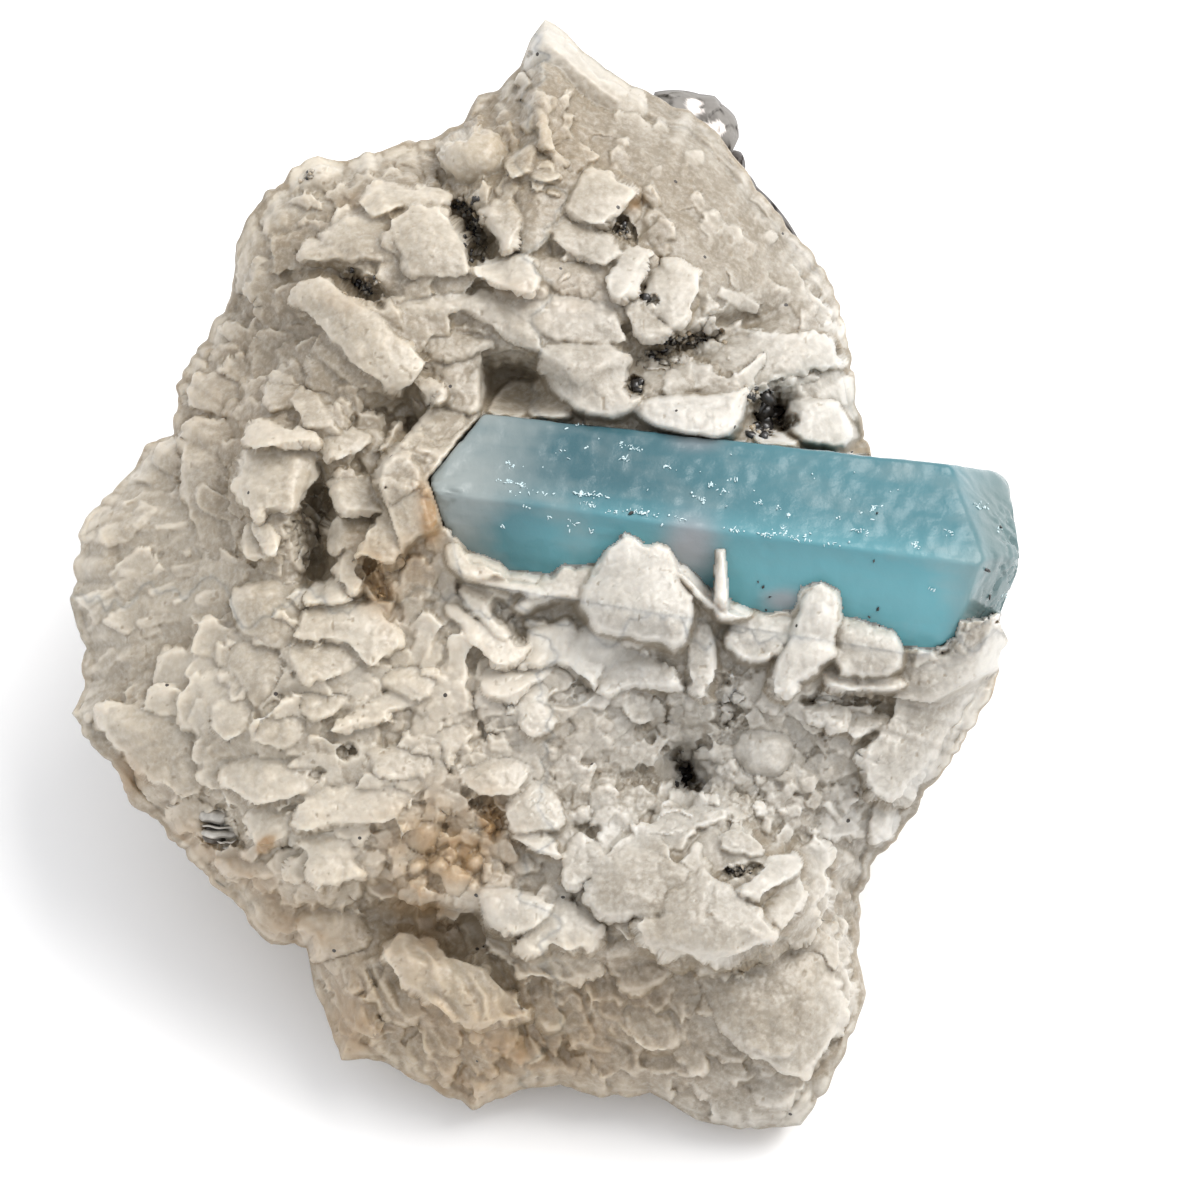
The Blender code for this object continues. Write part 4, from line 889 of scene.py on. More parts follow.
# The bell on the sheet at the upper right (700, 200) lowers its tone where the lamp meets it face-on: painted
# shade.
for *place, shift in (
    (520, 125, 110, 90, -0.50), (620, 370, 150, 40, -0.50), (700, 900, 130, 60, -0.34),
    (500, 650, 100, 70, 0.42), (940, 720, 70, 100, -0.40), (700, 200, 120, 110, -0.25),
    (470, 1030, 200, 70, -0.12), (350, 690, 130, 60, 0.08), (150, 600, 110, 150, 0.15),
    (330, 830, 120, 60, 0.20), (330, 320, 80, 60, -0.30), (850, 640, 120, 50, 0.15),
    (760, 1020, 110, 90, -0.22), (280, 450, 60, 60, -0.15), (250, 250, 80, 80, -0.12),
):
    tones = tones + shift * bell(cols, rows, *place)
tones = np.clip(tones, 0, 1)
print("in hollows:", int((dirt > 0.5).sum()), "points; on edges:", int((lit_edge > 0.5).sum()))

# %% [markdown]
# Iron has stained the rock in a few places, golden at the left of the aquamarine and brown on the flank
# that broke off last; the long band along the lower-left flank also stands for its shade, as painted shade. Each
# stain is a soft patch with a strength of its own.

# %% Stains
Stain = namedtuple("Stain", "col row half_width half_height turn strength")
RUST = (
    Stain(430, 516, 11, 32, 6, 1.2), Stain(378, 584, 16, 34, 20, 1.1), Stain(410, 560, 26, 30, 30, 0.40),
    Stain(448, 846, 60, 48, 0, 0.85), Stain(420, 905, 42, 60, 10, 0.72), Stain(490, 820, 15, 24, 10, 1.5),
    Stain(405, 950, 34, 60, 10, 0.30), Stain(520, 1050, 60, 32, -20, 0.62),
    Stain(590, 1010, 34, 50, -20, 0.34),
    Stain(470, 1082, 60, 26, 0, 0.5), Stain(300, 925, 55, 36, -30, 0.55), Stain(345, 1020, 34, 60, 10, 0.50),
    Stain(205, 850, 60, 30, -40, 0.4), Stain(128, 776, 22, 26, 0, 0.5), Stain(265, 845, 11, 6, 35, 2.2),
    Stain(637, 203, 10, 5, 40, 0.9), Stain(354, 200, 12, 7, 0, 0.45), Stain(560, 300, 60, 26, 10, 0.18),
    Stain(520, 290, 20, 12, 0, 0.3), Stain(345, 300, 24, 12, 0, 0.25), Stain(225, 400, 60, 60, 0, 0.10),
    Stain(640, 990, 60, 30, -20, 0.22), Stain(470, 700, 60, 80, 0, 0.10), Stain(560, 740, 90, 50, 0, 0.06),
    # Stain 260, 885 is a long band along the lower-left flank: brown stain and painted shade.
    Stain(260, 885, 130, 26, -38, 0.42), Stain(510, 1040, 150, 60, -10, 0.34),
)
rust = np.zeros(cols.shape)
for stain in RUST:
    along, across = turned_by(cols, rows, stain.col, stain.row, stain.turn)
    soft = bell(along, across, 0, 0, stain.half_width, stain.half_height)
    rust = np.maximum(rust, stain.strength * soft)
rust = np.clip(rust * (1 + 0.55 * value_noise(places / 1.4, 81) + 0.35 * value_noise(places / 0.6, 82)), 0, 1)
print("stained points:", int((rust > 0.3).sum()))

# %% [markdown]
# The rock is warm beige at the left, along the crest and on the broken flank, and a cooler white towards the
# right. That is a slow change over the whole piece, so a few soft bells are enough.

# %% Warmth
warm = 0.55 * (1 - smooth_step((cols - 360) / 320))
for *place, strength in (
    (520, 150, 130, 90, 0.75), (470, 1040, 260, 120, 1.0), (380, 560, 90, 110, 0.75), (440, 850, 80, 70, 0.9),
    (230, 900, 160, 70, 0.7), (680, 220, 110, 110, 0.30), (820, 1020, 90, 110, 0.35),
):
    warm = np.maximum(warm, strength * bell(cols, rows, *place))
warm = np.clip(warm + 0.12 * value_noise(places / 3.0, 83), 0, 1)
print("mean warmth:", round(float(warm[shares < 1].mean()), 2))

# %% [markdown]
# ## The rock's own meshes
# Numpy makes the points, and Blender only takes them over. A few helpers do that for every piece: one makes
# the object, and the others give normals, find open edges, drop unused points and number the faces.


# %% From arrays to an object
def add_mesh(name, points, faces, material, attributes=None, smooth=True, normals=None):
    """A new piece at the origin: points in mm, faces as arrays of corner numbers (triangles, quads)."""
    mesh = bpy.data.meshes.new(name)
    loops = np.concatenate([np.asarray(f, np.int32).ravel() for f in faces])
    sizes = np.concatenate([np.full(len(f), np.shape(f)[1], np.int32) for f in faces])
    mesh.vertices.add(len(points))
    mesh.vertices.foreach_set("co", (np.asarray(points, float) * MM).ravel())
    mesh.loops.add(len(loops))
    mesh.loops.foreach_set("vertex_index", loops)
    mesh.polygons.add(len(sizes))
    mesh.polygons.foreach_set("loop_start", np.concatenate(([0], np.cumsum(sizes)[:-1])).astype(np.int32))
    mesh.polygons.foreach_set("loop_total", sizes)
    mesh.update()
    mesh.validate()
    if smooth:
        mesh.shade_smooth()
    if normals is not None:
        mesh.normals_split_custom_set_from_vertices(normals.tolist())
    for key, values in (attributes or {}).items():
        field = mesh.attributes.new(key, "FLOAT", "POINT")
        field.data.foreach_set("value", np.asarray(values, np.float32).ravel())
    mesh.materials.append(material)
    obj = bpy.data.objects.new(name, mesh)
    bpy.context.scene.collection.objects.link(obj)
    return obj


def grid_normals(points):
    """Normals of a grid of points that faces the eye: the cross product of its steps down and right."""
    crossed = np.cross(np.gradient(points, axis=0), np.gradient(points, axis=1))
    return crossed / np.maximum(np.linalg.norm(crossed, axis=-1, keepdims=True), 1e-9)


def open_edges(quads, count):
    """Edges that only one quad uses, in the quads' own direction, found by sorting edge keys."""
    corners = range(quads.shape[1])
    edges = np.concatenate([np.stack((quads[:, k], np.roll(quads, -1, axis=1)[:, k]), 1) for k in corners])
    keys = edges.min(1).astype(np.int64) * count + edges.max(1)
    _, first, uses = np.unique(keys, return_index=True, return_counts=True)
    return edges[first[uses == 1]]


def compact(points, faces, *fields):
    """The points that the faces use, the faces renumbered, and the fields at those points."""
    used = np.unique(np.concatenate([f.ravel() for f in faces]))
    number = np.zeros(len(points), np.int64)
    number[used] = np.arange(len(used))
    return (points[used], [number[f] for f in faces], *(field[used] for field in fields))


def grid_quads(keep):
    """Corner numbers of the grid's quads where keep is true, wound so that they face the eye."""
    high, wide = keep.shape
    number = np.arange((high + 1) * (wide + 1)).reshape(high + 1, wide + 1)
    return np.moveaxis(at_corners(number), 0, -1)[keep]


def at_corners(field):
    """A grid's values at the four corners of each of its quads, as four arrays."""
    return np.stack((field[1:, :-1], field[1:, 1:], field[:-1, 1:], field[:-1, :-1]))


def side_strip(edges, count):
    """Quads that join open edges to the same points of a second sheet, numbered count further on."""
    return np.stack((edges[:, 1], edges[:, 0], edges[:, 0] + count, edges[:, 1] + count), 1)


def tube_faces(rings, ribs):
    """Faces of rings laid one after another, wound outwards: quads between them, and a fan at each end
    to the two middle points, which are numbered after the rings."""
    number = np.arange(rings * ribs).reshape(rings, ribs)
    beside = np.roll(number, -1, axis=1)
    quads = np.stack((number[:-1], number[1:], beside[1:], beside[:-1]), -1).reshape(-1, 4)
    first = np.stack((number[0], beside[0], np.full(ribs, rings * ribs)), 1)
    last = np.stack((beside[-1], number[-1], np.full(ribs, rings * ribs + 1)), 1)
    return [quads, np.vstack((first, last))]


print("a tube of 3 rings and 4 ribs has", [len(faces) for faces in tube_faces(3, 4)], "quads and triangles")


# %% [markdown]
# ## The look of the minerals
# Albite is white and waxy, beige in the shade, with brown dust and painted shade in its hollows. Its colour
# follows
# the four fields made above: tone, the dark field of dust and shade, rust and warmth, plus a little noise, so no
# picture of it is needed. The tone also holds painted light, lighter on edges and towards the top of each crystal.
# Light goes a short way into it, as it does in wax.


# %% A short way to write shader nodes
def add_node(material, kind, settings=None, **inputs):
    """A shader node of that kind, whose inputs are numbers, colours or other nodes' outputs. An input is
    called by its name, or by i and its number."""
    tree = material.node_tree
    made = tree.nodes.new("ShaderNode" + kind)
    for setting, value in (settings or {}).items():
        setattr(made, setting, value)
    for key, value in inputs.items():
        numbered = key[0] == "i" and key[1:].isdigit()
        socket = made.inputs[int(key[1:]) if numbered else key.replace("_", " ")]
        if isinstance(value, bpy.types.NodeSocket):
            tree.links.new(value, socket)
        else:
            socket.default_value = value
    return made


def mix(material, share, one, two, blend="MIX"):
    """The colour between two colours, by a share from 0 to 1."""
    settings = dict(data_type="RGBA", blend_type=blend, clamp_factor=True)
    return add_node(material, "Mix", settings, i0=share, i6=one, i7=two).outputs[2]


def calculated(material, operation, one, two=0.5, three=0.5, held=True):
    """Simple sum on sockets or numbers, held between 0 and 1 unless it is a step on the way."""
    settings = dict(operation=operation, use_clamp=held)
    return add_node(material, "Math", settings, i0=one, i1=two, i2=three).outputs[0]


def field_of(material, name):
    """One of the piece's own fields, as it was written into its mesh."""
    return add_node(material, "Attribute", dict(attribute_name=name)).outputs["Fac"]


def noise(material, scale, detail=3.0, roughness=0.55):
    """Noise on the piece's own coordinates; scale counts waves in a metre."""
    where = add_node(material, "TexCoord").outputs["Object"]
    waves = dict(Scale=scale, Detail=detail, Roughness=roughness)
    return add_node(material, "TexNoise", Vector=where, **waves).outputs["Fac"]


def put(material, **links):
    """Connect outputs to the Principled shader's inputs."""
    shader = material.node_tree.nodes["Principled BSDF"]
    for key, output in links.items():
        material.node_tree.links.new(output, shader.inputs[key.replace("_", " ")])


# %% Albite
albite = principled("albite", Roughness=0.40, IOR=1.53, Subsurface_Weight=0.65, Subsurface_Scale=0.0013,
                    Subsurface_Radius=(1.0, 0.85, 0.7))
cloudy = noise(albite, 330.0, 4.0)
speckle = noise(albite, 2400.0, 3.0, 0.65)
lowered = calculated(albite, "SUBTRACT", field_of(albite, "tone"), 0.25, held=False)
shade = calculated(albite, "MULTIPLY_ADD", cloudy, 0.5, lowered)
body = mix(albite, shade, (0.235, 0.202, 0.155, 1), (0.57, 0.55, 0.51, 1))
body = mix(albite, field_of(albite, "warm"), body, (0.97, 0.85, 0.67, 1), "MULTIPLY")
body = mix(albite, calculated(albite, "MULTIPLY_ADD", speckle, 1.0, -0.42), body, (0.66, 0.63, 0.57, 1))
# The dark field of the hollows mixes in brown: dust, and painted shade; rust is the real stain.
for field, gain, base, colour in (
    ("dirt", 1.2, 0.3, (0.27, 0.21, 0.135, 1)), ("rust", 1.4, 0.25, (0.31, 0.20, 0.10, 1)),
):
    uneven = calculated(albite, "MULTIPLY_ADD", speckle, gain, base)
    body = mix(albite, calculated(albite, "MULTIPLY", field_of(albite, field), uneven), body, colour)
where = add_node(albite, "TexCoord").outputs["Object"]
specks = add_node(albite, "TexVoronoi", Vector=where, Scale=520.0)
chosen = add_node(albite, "SeparateColor", Color=specks.outputs["Color"])
near_speck = calculated(albite, "LESS_THAN", specks.outputs["Distance"], 0.075)
rare = calculated(albite, "GREATER_THAN", chosen.outputs["Red"], 0.80)
body = mix(albite, calculated(albite, "MULTIPLY", near_speck, rare), body, (0.05, 0.04, 0.035, 1))
put(albite, Base_Color=body)
bump = add_node(albite, "Bump", Height=speckle, Strength=0.07, Distance=0.0001)
put(albite, Normal=bump.outputs["Normal"])
print("albite nodes:", len(albite.node_tree.nodes))

# %% [markdown]
# The aquamarine is blue all through, but etched and full of fine cracks, so it lets only part of the light
# pass. Plain transmission with an absorbing volume gives the depth, and the rest is colour on it: milky at
# the left end, with pale wisps and a pinkish blush where the rock shines through. Its lower side is given a
# lighter, bluer colour as painted light, and its broken right end a darker one as painted shade.

# %% Aquamarine
aquamarine = principled("aquamarine", Roughness=0.24, IOR=1.57, Transmission_Weight=0.30,
                        Specular_IOR_Level=0.25)
frosted = field_of(aquamarine, "frost")
wisps = noise(aquamarine, 190.0, 5.0, 0.62)
clear = calculated(aquamarine, "MULTIPLY_ADD", frosted, 1.3, -0.87, held=False)
pale = calculated(aquamarine, "MULTIPLY_ADD", wisps, 0.95, clear)
# The blue field lightens the lower side as painted light; towards the right the upper side also turns bluer.
tinted = mix(aquamarine, field_of(aquamarine, "blue"), (0.055, 0.145, 0.175, 1), (0.165, 0.455, 0.52, 1))
tinted = mix(aquamarine, pale, tinted, (0.38, 0.42, 0.41, 1))
tinted = mix(aquamarine, field_of(aquamarine, "blush"), tinted, (0.55, 0.44, 0.45, 1))
# The broken right end is darkened: painted shade.
tinted = mix(aquamarine, field_of(aquamarine, "right_end_shade"), tinted, (0.14, 0.22, 0.225, 1))
etching = add_node(aquamarine, "Bump", Height=noise(aquamarine, 700.0, 4.0), Strength=0.35, Distance=0.0002)
put(aquamarine, Base_Color=tinted, Normal=etching.outputs["Normal"])
absorb = add_node(aquamarine, "VolumeAbsorption", Color=(0.12, 0.58, 0.66, 1), Density=120.0)
ends = aquamarine.node_tree.nodes["Material Output"].inputs
aquamarine.node_tree.links.new(absorb.outputs[0], ends["Volume"])
print("aquamarine nodes:", len(aquamarine.node_tree.nodes))

# %% [markdown]
# Schorl is black and glossy. Mica is silvery, and the dark gaps between its leaves are dust and painted shade. The
# smoky quartz is grey and rough, with a white patch of albite and a dark rim. Each needs only a few nodes.

# %% Schorl, mica and smoky quartz
schorl = principled("schorl", Base_Color=(0.018, 0.016, 0.015, 1), Roughness=0.28, IOR=1.64)
mica = principled("mica", Roughness=0.32, Metallic=0.25)
silver = calculated(mica, "SUBTRACT", field_of(mica, "tone"), 0.65, held=False)
silver = calculated(mica, "MULTIPLY_ADD", noise(mica, 1500.0, 4.0), 1.3, silver)
put(mica, Base_Color=mix(mica, silver, (0.06, 0.047, 0.034, 1), (0.56, 0.53, 0.48, 1)))
smoky = principled("smoky_quartz", Roughness=0.5, IOR=1.54, Transmission_Weight=0.08, Specular_IOR_Level=0.2)
glassy = mix(smoky, noise(smoky, 900.0, 4.0), (0.15, 0.137, 0.125, 1), (0.30, 0.285, 0.265, 1))
glassy = mix(smoky, field_of(smoky, "tone"), glassy, (0.85, 0.79, 0.75, 1))
put(smoky, Base_Color=mix(smoky, field_of(smoky, "dirt"), glassy, (0.06, 0.05, 0.045, 1)))
print("materials:", [material.name for material in bpy.data.materials])

# %% [markdown]
# ## The face and the wall
# Seen from the side, the crystals stand right up to the rim, and the broken wall begins at their height. So
# we walk round just inside the rim, note how high the face stands there, and let the wall's top edge follow
# that. The skin between is held up to it. The prism's trough is cut into the skin first.

# %% The wall's top edge
face_depths = np.where(in_trough, np.minimum(depths, grown_far), depths)
inside = shares < 1
AROUND = 900
turn = np.linspace(0, 2 * math.pi, AROUND, endpoint=False)
radius = rim_radius(turn)


def on_ring(share):
    """Columns and rows of a ring at a share of the rim's radius."""
    return DOME_CENTRE[0] + share * radius * np.cos(turn), DOME_CENTRE[1] - share * radius * np.sin(turn)


def nearest_point(col, row):
    """Numbers of the grid point that lies nearest to a place: its line and its place in the line."""
    i = np.clip(((np.asarray(row) - rows[0, 0]) / STEP).round().astype(int), 0, rows.shape[0] - 1)
    j = np.clip(((np.asarray(col) - cols[0, 0]) / STEP).round().astype(int), 0, cols.shape[1] - 1)
    return i, j


def beside_each(ring):
    """A ring's values together with those up to eight places before and after, one row for each."""
    return np.array([np.roll(ring, shift) for shift in range(-8, 9)])


stand = np.min([face_depths[nearest_point(*on_ring(share))] for share in (0.91, 0.93, 0.95)], axis=0)
stand = beside_each(stand - rim_level(*on_ring(1.0))).min(0)
stand = np.clip(beside_each(stand).mean(0) - 1.7, 0, 12)
print("the wall's top stands", stand.mean().round(1), "mm over the rim, at most", stand.max().round(1))


def wall_top(col, row):
    """Depth of the wall's top edge: the rim's level, raised to where the face stands just inside it."""
    bearing = np.arctan2(DOME_CENTRE[1] - row, col - DOME_CENTRE[0])
    return rim_level(col, row) + np.interp(bearing, turn, stand, period=2 * math.pi)


rolled = wall_top(cols, rows) + 0.9 * np.sqrt(np.clip((1 - shares) / 0.04, 0, 1))
rolled = rolled + 0.5 * value_noise(places / 1.3, 181) * np.clip((1 - shares) / 0.03, 0, 1)
rolled = rolled - 20 * (1 - smooth_step((shares - 0.90) / 0.04))
held_up = inside & ~in_trough
face_depths = np.where(held_up, np.maximum(face_depths, rolled), face_depths)

# %% [markdown]
# The face is cut into four tiles, so that each stays light. Their borders wander, because a straight one
# would catch the eye. First the median column parts left from right, then a median row parts each side.

# %% Borders of the tiles
down, right = np.indices(cols.shape)


def wander(line):
    """A wandering shift along a line of cells: a wide swing plus a small one."""
    line = np.stack((line, 0 * line, 0 * line), -1)
    return 16 * value_noise(line / 21.0, 161) + 6 * value_noise(line / 6.0, 162)


across_split = right + wander(down) - int(np.median(right[inside]))
on_right = (across_split >= 0).astype(int)
splits = np.array([np.median(down[inside & (on_right == side)]) for side in (0, 1)])
down_split = down + wander(right) - splits[on_right]
tile = (on_right + 2 * (down_split >= 0))[:-1, :-1]
from_border = np.minimum(np.abs(across_split), np.abs(down_split))
print("points in each tile:", [int((inside[:-1, :-1] & (tile == k)).sum()) for k in range(4)])

# %% [markdown]
# Points beyond the rim are pulled in to it, so the outline is clean. Where the skin is steep the grid is
# stretched, and it would look like a curtain from the side, so it is broken up with noise along its own
# normals. Elsewhere the shading follows the level sheet, as if the trough weren't there.

# %% The skin
def towards_centre(pull):
    """Columns and rows of the grid, drawn in to the dome's centre by a share."""
    return DOME_CENTRE[0] + (cols - DOME_CENTRE[0]) * pull, DOME_CENTRE[1] + (rows - DOME_CENTRE[1]) * pull


pull = np.minimum(1.0, 1.0 / np.maximum(shares, 1e-6))
held_cols, held_rows = towards_centre(pull)
held = np.where(shares < 1, face_depths, wall_top(held_cols, held_rows))
skin = spot(held_cols, held_rows, held)
outward = grid_normals(skin)
steep = smooth_step((0.55 - outward @ EYEWARD) / 0.35) * (shares < 0.985) * (bed < -50)
steep = steep * smooth_step((from_border - 4) / 8)
rough = 0.55 * value_noise(skin / 1.4, 171) + 0.4 * np.abs(value_noise(skin / 0.7, 172)) - 0.15
skin = skin + (steep * rough)[..., None] * outward
level_normals = grid_normals(spot(held_cols, held_rows, np.where(in_trough & inside, depths, held)))
own_normals = in_trough | (steep > 0)
skin_normals = np.where(own_normals[..., None], grid_normals(skin), level_normals).reshape(-1, 3)
skin = skin.reshape(-1, 3)
print("points on steep skin:", int((steep > 0.5).sum()))

# %% [markdown]
# Every tile is closed: a strip runs from its border back to a sheet deep inside the lump, and a fan of
# triangles joins that to one point, the core. The sheet is drawn in near the rim, so that it stays behind
# the wall, and it stops short of the floor.

# %% Face tiles
BEHIND = -6.0
back_pull = pull * (1 - 0.30 * np.clip(shares, 0, 1) ** 8)
back_cols, back_rows = towards_centre(back_pull)
lowest = (0.5 - PLANE_MIDDLE[2] - (MIDDLE - back_rows) * CELL * UPWARD[2]) / EYEWARD[2]
behind = spot(back_cols, back_rows, np.maximum(BEHIND, lowest)).reshape(-1, 3)
CORE = spot(*DOME_CENTRE, BEHIND)
looks = dict(tone=tones, dirt=dirt, rust=rust, warm=warm)
face_pieces = []
count = len(skin)
all_points = np.vstack((skin, behind, CORE))
all_normals = np.vstack((skin_normals, np.tile(-EYEWARD, (count + 1, 1))))
all_fields = [np.concatenate((field.ravel(), field.ravel(), (0.4,))) for field in looks.values()]
for number in range(4):
    quads = grid_quads(at_corners(inside).any(0) & (tile == number))
    edges = open_edges(quads, count)
    fan = np.stack((edges[:, 1] + count, edges[:, 0] + count, np.full(len(edges), 2 * count)), 1)
    faces = [np.vstack((quads, side_strip(edges, count))), fan]
    points, faces, normals, *fields = compact(all_points, faces, all_normals, *all_fields)
    fields = dict(zip(looks, fields))
    piece = add_mesh(f"albite_face_{number}", points, faces, albite, fields, normals=normals)
    face_pieces.append(piece)
    print(piece.name, len(points), "points,", 2 * len(quads) + len(fan), "triangles")

# %% [markdown]
# The back and the sides are a broken wall. It runs from its top edge to a shoulder at the rim's own level,
# and from there down to the base, a little undercut. It is a function of the bearing and of the way down,
# roughened by three sizes of facets, and it is closed at the base and behind the face.

# %% Wall
DOWN = 98


def rim_ring(share, lift):
    """The ring of the wall's top edge at a share of the rim's radius, lifted towards the eye."""
    ring_col, ring_row = on_ring(share)
    return spot(ring_col, ring_row, wall_top(ring_col, ring_row) + lift)


rim = rim_ring(1.0, 0.0)
outward = np.stack((np.cos(turn), np.sin(turn), 0 * turn), -1)
shoulder = spot(*on_ring(1.0), rim_level(*on_ring(1.0)))
undercut = 0.08 + 0.006 * shoulder[:, 2] + 0.12 * np.clip(-np.cos(turn), 0, 1)
foot = shoulder * (1 - undercut)[:, None]
foot[:, 2] = 0.0
bulge = np.where(np.sin(turn) > 0, 4.5, -1.2) * np.clip(shoulder[:, 2] / 30.0, 0, 1)
level = np.linspace(0, 1, DOWN)[:, None]
bend = 0.03 + 0.03 * stand
upper, lower = np.clip(level / bend, 0, 1), np.clip((level - bend) / (1 - bend), 0, 1)
wall = rim + (shoulder - rim) * upper[..., None] + (foot - shoulder) * lower[..., None]
window_shape = np.sin(math.pi * level) ** 0.5
coarse, coarse_edge = facets(wall / 4.6, 101, 0.55)
middling, middling_edge = facets(wall / 2.1, 111, 0.6)
little, _ = facets(wall / 0.9, 121, 0.6)
broken = 0.8 * value_noise(wall / 5.0, 3) * np.sin(math.pi * level)
broken = broken + 1.7 * coarse + 0.9 * middling + 0.35 * little - 1.8
swell = bulge * np.sin(math.pi * lower) + window_shape * broken
wall = wall + outward * swell[..., None]
wall[..., 2] = np.clip(wall[..., 2], 0.0, None)
rings = np.concatenate((rim_ring(0.985, 0.4)[None], wall)).reshape(-1, 3)
points = np.vstack((rings, CORE, foot.mean(0)))
crevice = np.clip(1 - np.minimum(coarse_edge / 0.05, middling_edge / 0.09), 0, 1) * 0.7
# The wall's tone follows its facets, lighter where they stand out and darker where they sink: painted light and
# shade. Its crevices and low facets are darkened as dust and painted shade.
wall_fields = dict(
    tone=0.42 + 0.5 * coarse + 0.3 * middling + 0.12 * value_noise(wall / 7.0, 131),
    dirt=crevice + 0.2 * np.clip(-little, 0, 1),
    rust=np.clip(0.25 * value_noise(wall / 9.0, 141) - 0.02, 0, 1)
    + 0.18 * np.clip(1 - wall[..., 2] / 12, 0, 1),
    warm=0.5 + 0.3 * value_noise(wall / 9.0, 151),
)
wall_fields = {
    key: np.concatenate((field[:1].ravel(), field.ravel(), (0.4, 0.4) if key == "tone" else (0, 0)))
    for key, field in wall_fields.items()
}
albite_wall = add_mesh("albite_wall", points, tube_faces(DOWN + 1, AROUND), albite, wall_fields)
print("albite_wall", len(points), "points")

# %% [markdown]
# Rock that stands in front of the aquamarine is one more piece: its near side is the drawn surface, and its
# far side follows the prism, so that the crystal really lies in its bed. Which quads it takes is a mask on
# the grid, grown by a few cells so that it laps over the tiles.

# %% Rock in front of the prism
def grown(mask, cells):
    """A mask, grown by a number of cells in every direction."""
    mask = mask.copy()
    for _ in range(cells):
        mask[1:] |= mask[:-1].copy()
        mask[:-1] |= mask[1:].copy()
        mask[:, 1:] |= mask[:, :-1].copy()
        mask[:, :-1] |= mask[:, 1:].copy()
    return mask


rise = 2.4 * np.sqrt(np.clip(1 - (1 - np.clip(below / 0.8, 0, 1)) ** 2, 0, 1))
rise = rise + 6.0 * np.clip(below - 0.6, 0, 9)
front = np.where(in_prism, np.minimum(depths, np.where(below > 0, bed + rise, near - 0.3)), depths)
front = np.where(in_prism & (front < near + 0.01), near - 0.06, front)
front = np.where(in_trough, front, depths - np.where(grown(in_trough, 1), 0.02, 0.3))
back = np.where(in_prism, near - 0.08, np.minimum(depths, 8.0) - 1.2)
back = np.minimum(back, front - 0.02)
stands = in_prism & (front > near)
spread = grown(stands, 6) & inside & (below > -0.25) & (~in_prism | stands | (front > near - 0.2))
quads = grid_quads(at_corners(stands).any(0) | at_corners(spread).all(0))
sides = side_strip(open_edges(quads, count), count)
near_sheet, far_sheet = spot(cols, rows, front), spot(cols, rows, back)
both = np.concatenate((near_sheet, far_sheet)).reshape(-1, 3)
level_sheet = spot(cols, rows, np.where(in_trough, front, depths))
both_normals = np.concatenate((grid_normals(level_sheet), -grid_normals(far_sheet))).reshape(-1, 3)
fields = [np.concatenate((field.ravel(), field.ravel())) for field in looks.values()]
faces = [quads, quads[:, ::-1] + count, sides]
points, faces, normals, *fields = compact(both, faces, both_normals, *fields)
fields = dict(zip(looks, fields))
albite_front = add_mesh("albite_front", points, faces, albite, fields, normals=normals)
print("albite_front", len(points), "points")

# %% [markdown]
# ## The aquamarine
# The prism's surface is one function of a place along its axis and an angle around it: from a point on the
# axis, the way out is the smallest distance to any of its planes. Taking a high power mean instead of the
# smallest rounds every edge a little, as etching did on the real one.

# %% Prism
RIBS, CAP, BODY = 180, 46, 210
power = 70.0
part = np.linspace(0, 1, RIBS, endpoint=False) * 6
angles = PRISM_ROLL + (np.floor(part) + (part % 1) - 0.10 * np.sin(2 * math.pi * (part % 1))) * math.pi / 3
spoke = np.cos(angles)[:, None] * prism_out + np.sin(angles)[:, None] * prism_up
length = np.linalg.norm(end_centres[1] - end_centres[0])
start, stop = 5.0, length - 5.5
travel = np.concatenate((np.full(CAP, start), np.linspace(start, stop, BODY), np.full(CAP, stop)))
first_cap, last_cap = np.linspace(-1, 0, CAP + 1)[:-1], np.linspace(0, 1, CAP + 1)[1:]
lean_angles = np.concatenate((first_cap * 0.999, np.zeros(BODY), last_cap * 0.999)) * math.pi / 2
origins = end_centres[0] + travel[:, None] * axis
ways = np.cos(lean_angles)[:, None, None] * spoke + np.sin(lean_angles)[:, None, None] * axis
total = np.zeros(ways.shape[:2])
for normal, offset in PLANES:
    room = offset - origins @ normal
    total += (np.clip(ways @ normal, 0, None) / room[:, None]) ** power
reach = total ** (-1 / power)
surface = origins[:, None] + reach[..., None] * ways
end_wear = smooth_step((np.abs((surface - prism_middle) @ axis - 0.5) - 17.0) / 3.0)
etched, _ = facets(surface / 1.5, 201, 0.8)
etched_small, _ = facets(surface / 0.6, 211, 0.8)
around_only = surface - ((surface - prism_middle) @ axis)[..., None] * axis * 0.93
dent = 0.05 * value_noise(surface / 2.5, 221) + 0.03 * value_noise(around_only / 0.35, 231)
dent = dent + 0.04 * value_noise(surface / 0.7, 232)
dent = dent + end_wear * (0.38 * etched + 0.16 * etched_small) - 0.07
surface = surface + np.minimum(dent, 0.0)[..., None] * ways
poles = np.stack((surface[0].mean(0), surface[-1].mean(0)))
print("prism:", len(travel), "rings of", RIBS, "points")

# %% [markdown]
# The left end is frosted and the middle is the clearest. That is a field over the surface: a slow fall from
# the left, a few soft spots, and clouds and streaks drawn out along the prism. Small patches are pinkish. The
# lower side gets a lighter, bluer share as painted light, and the end facets at the right a darker one as painted
# shade.

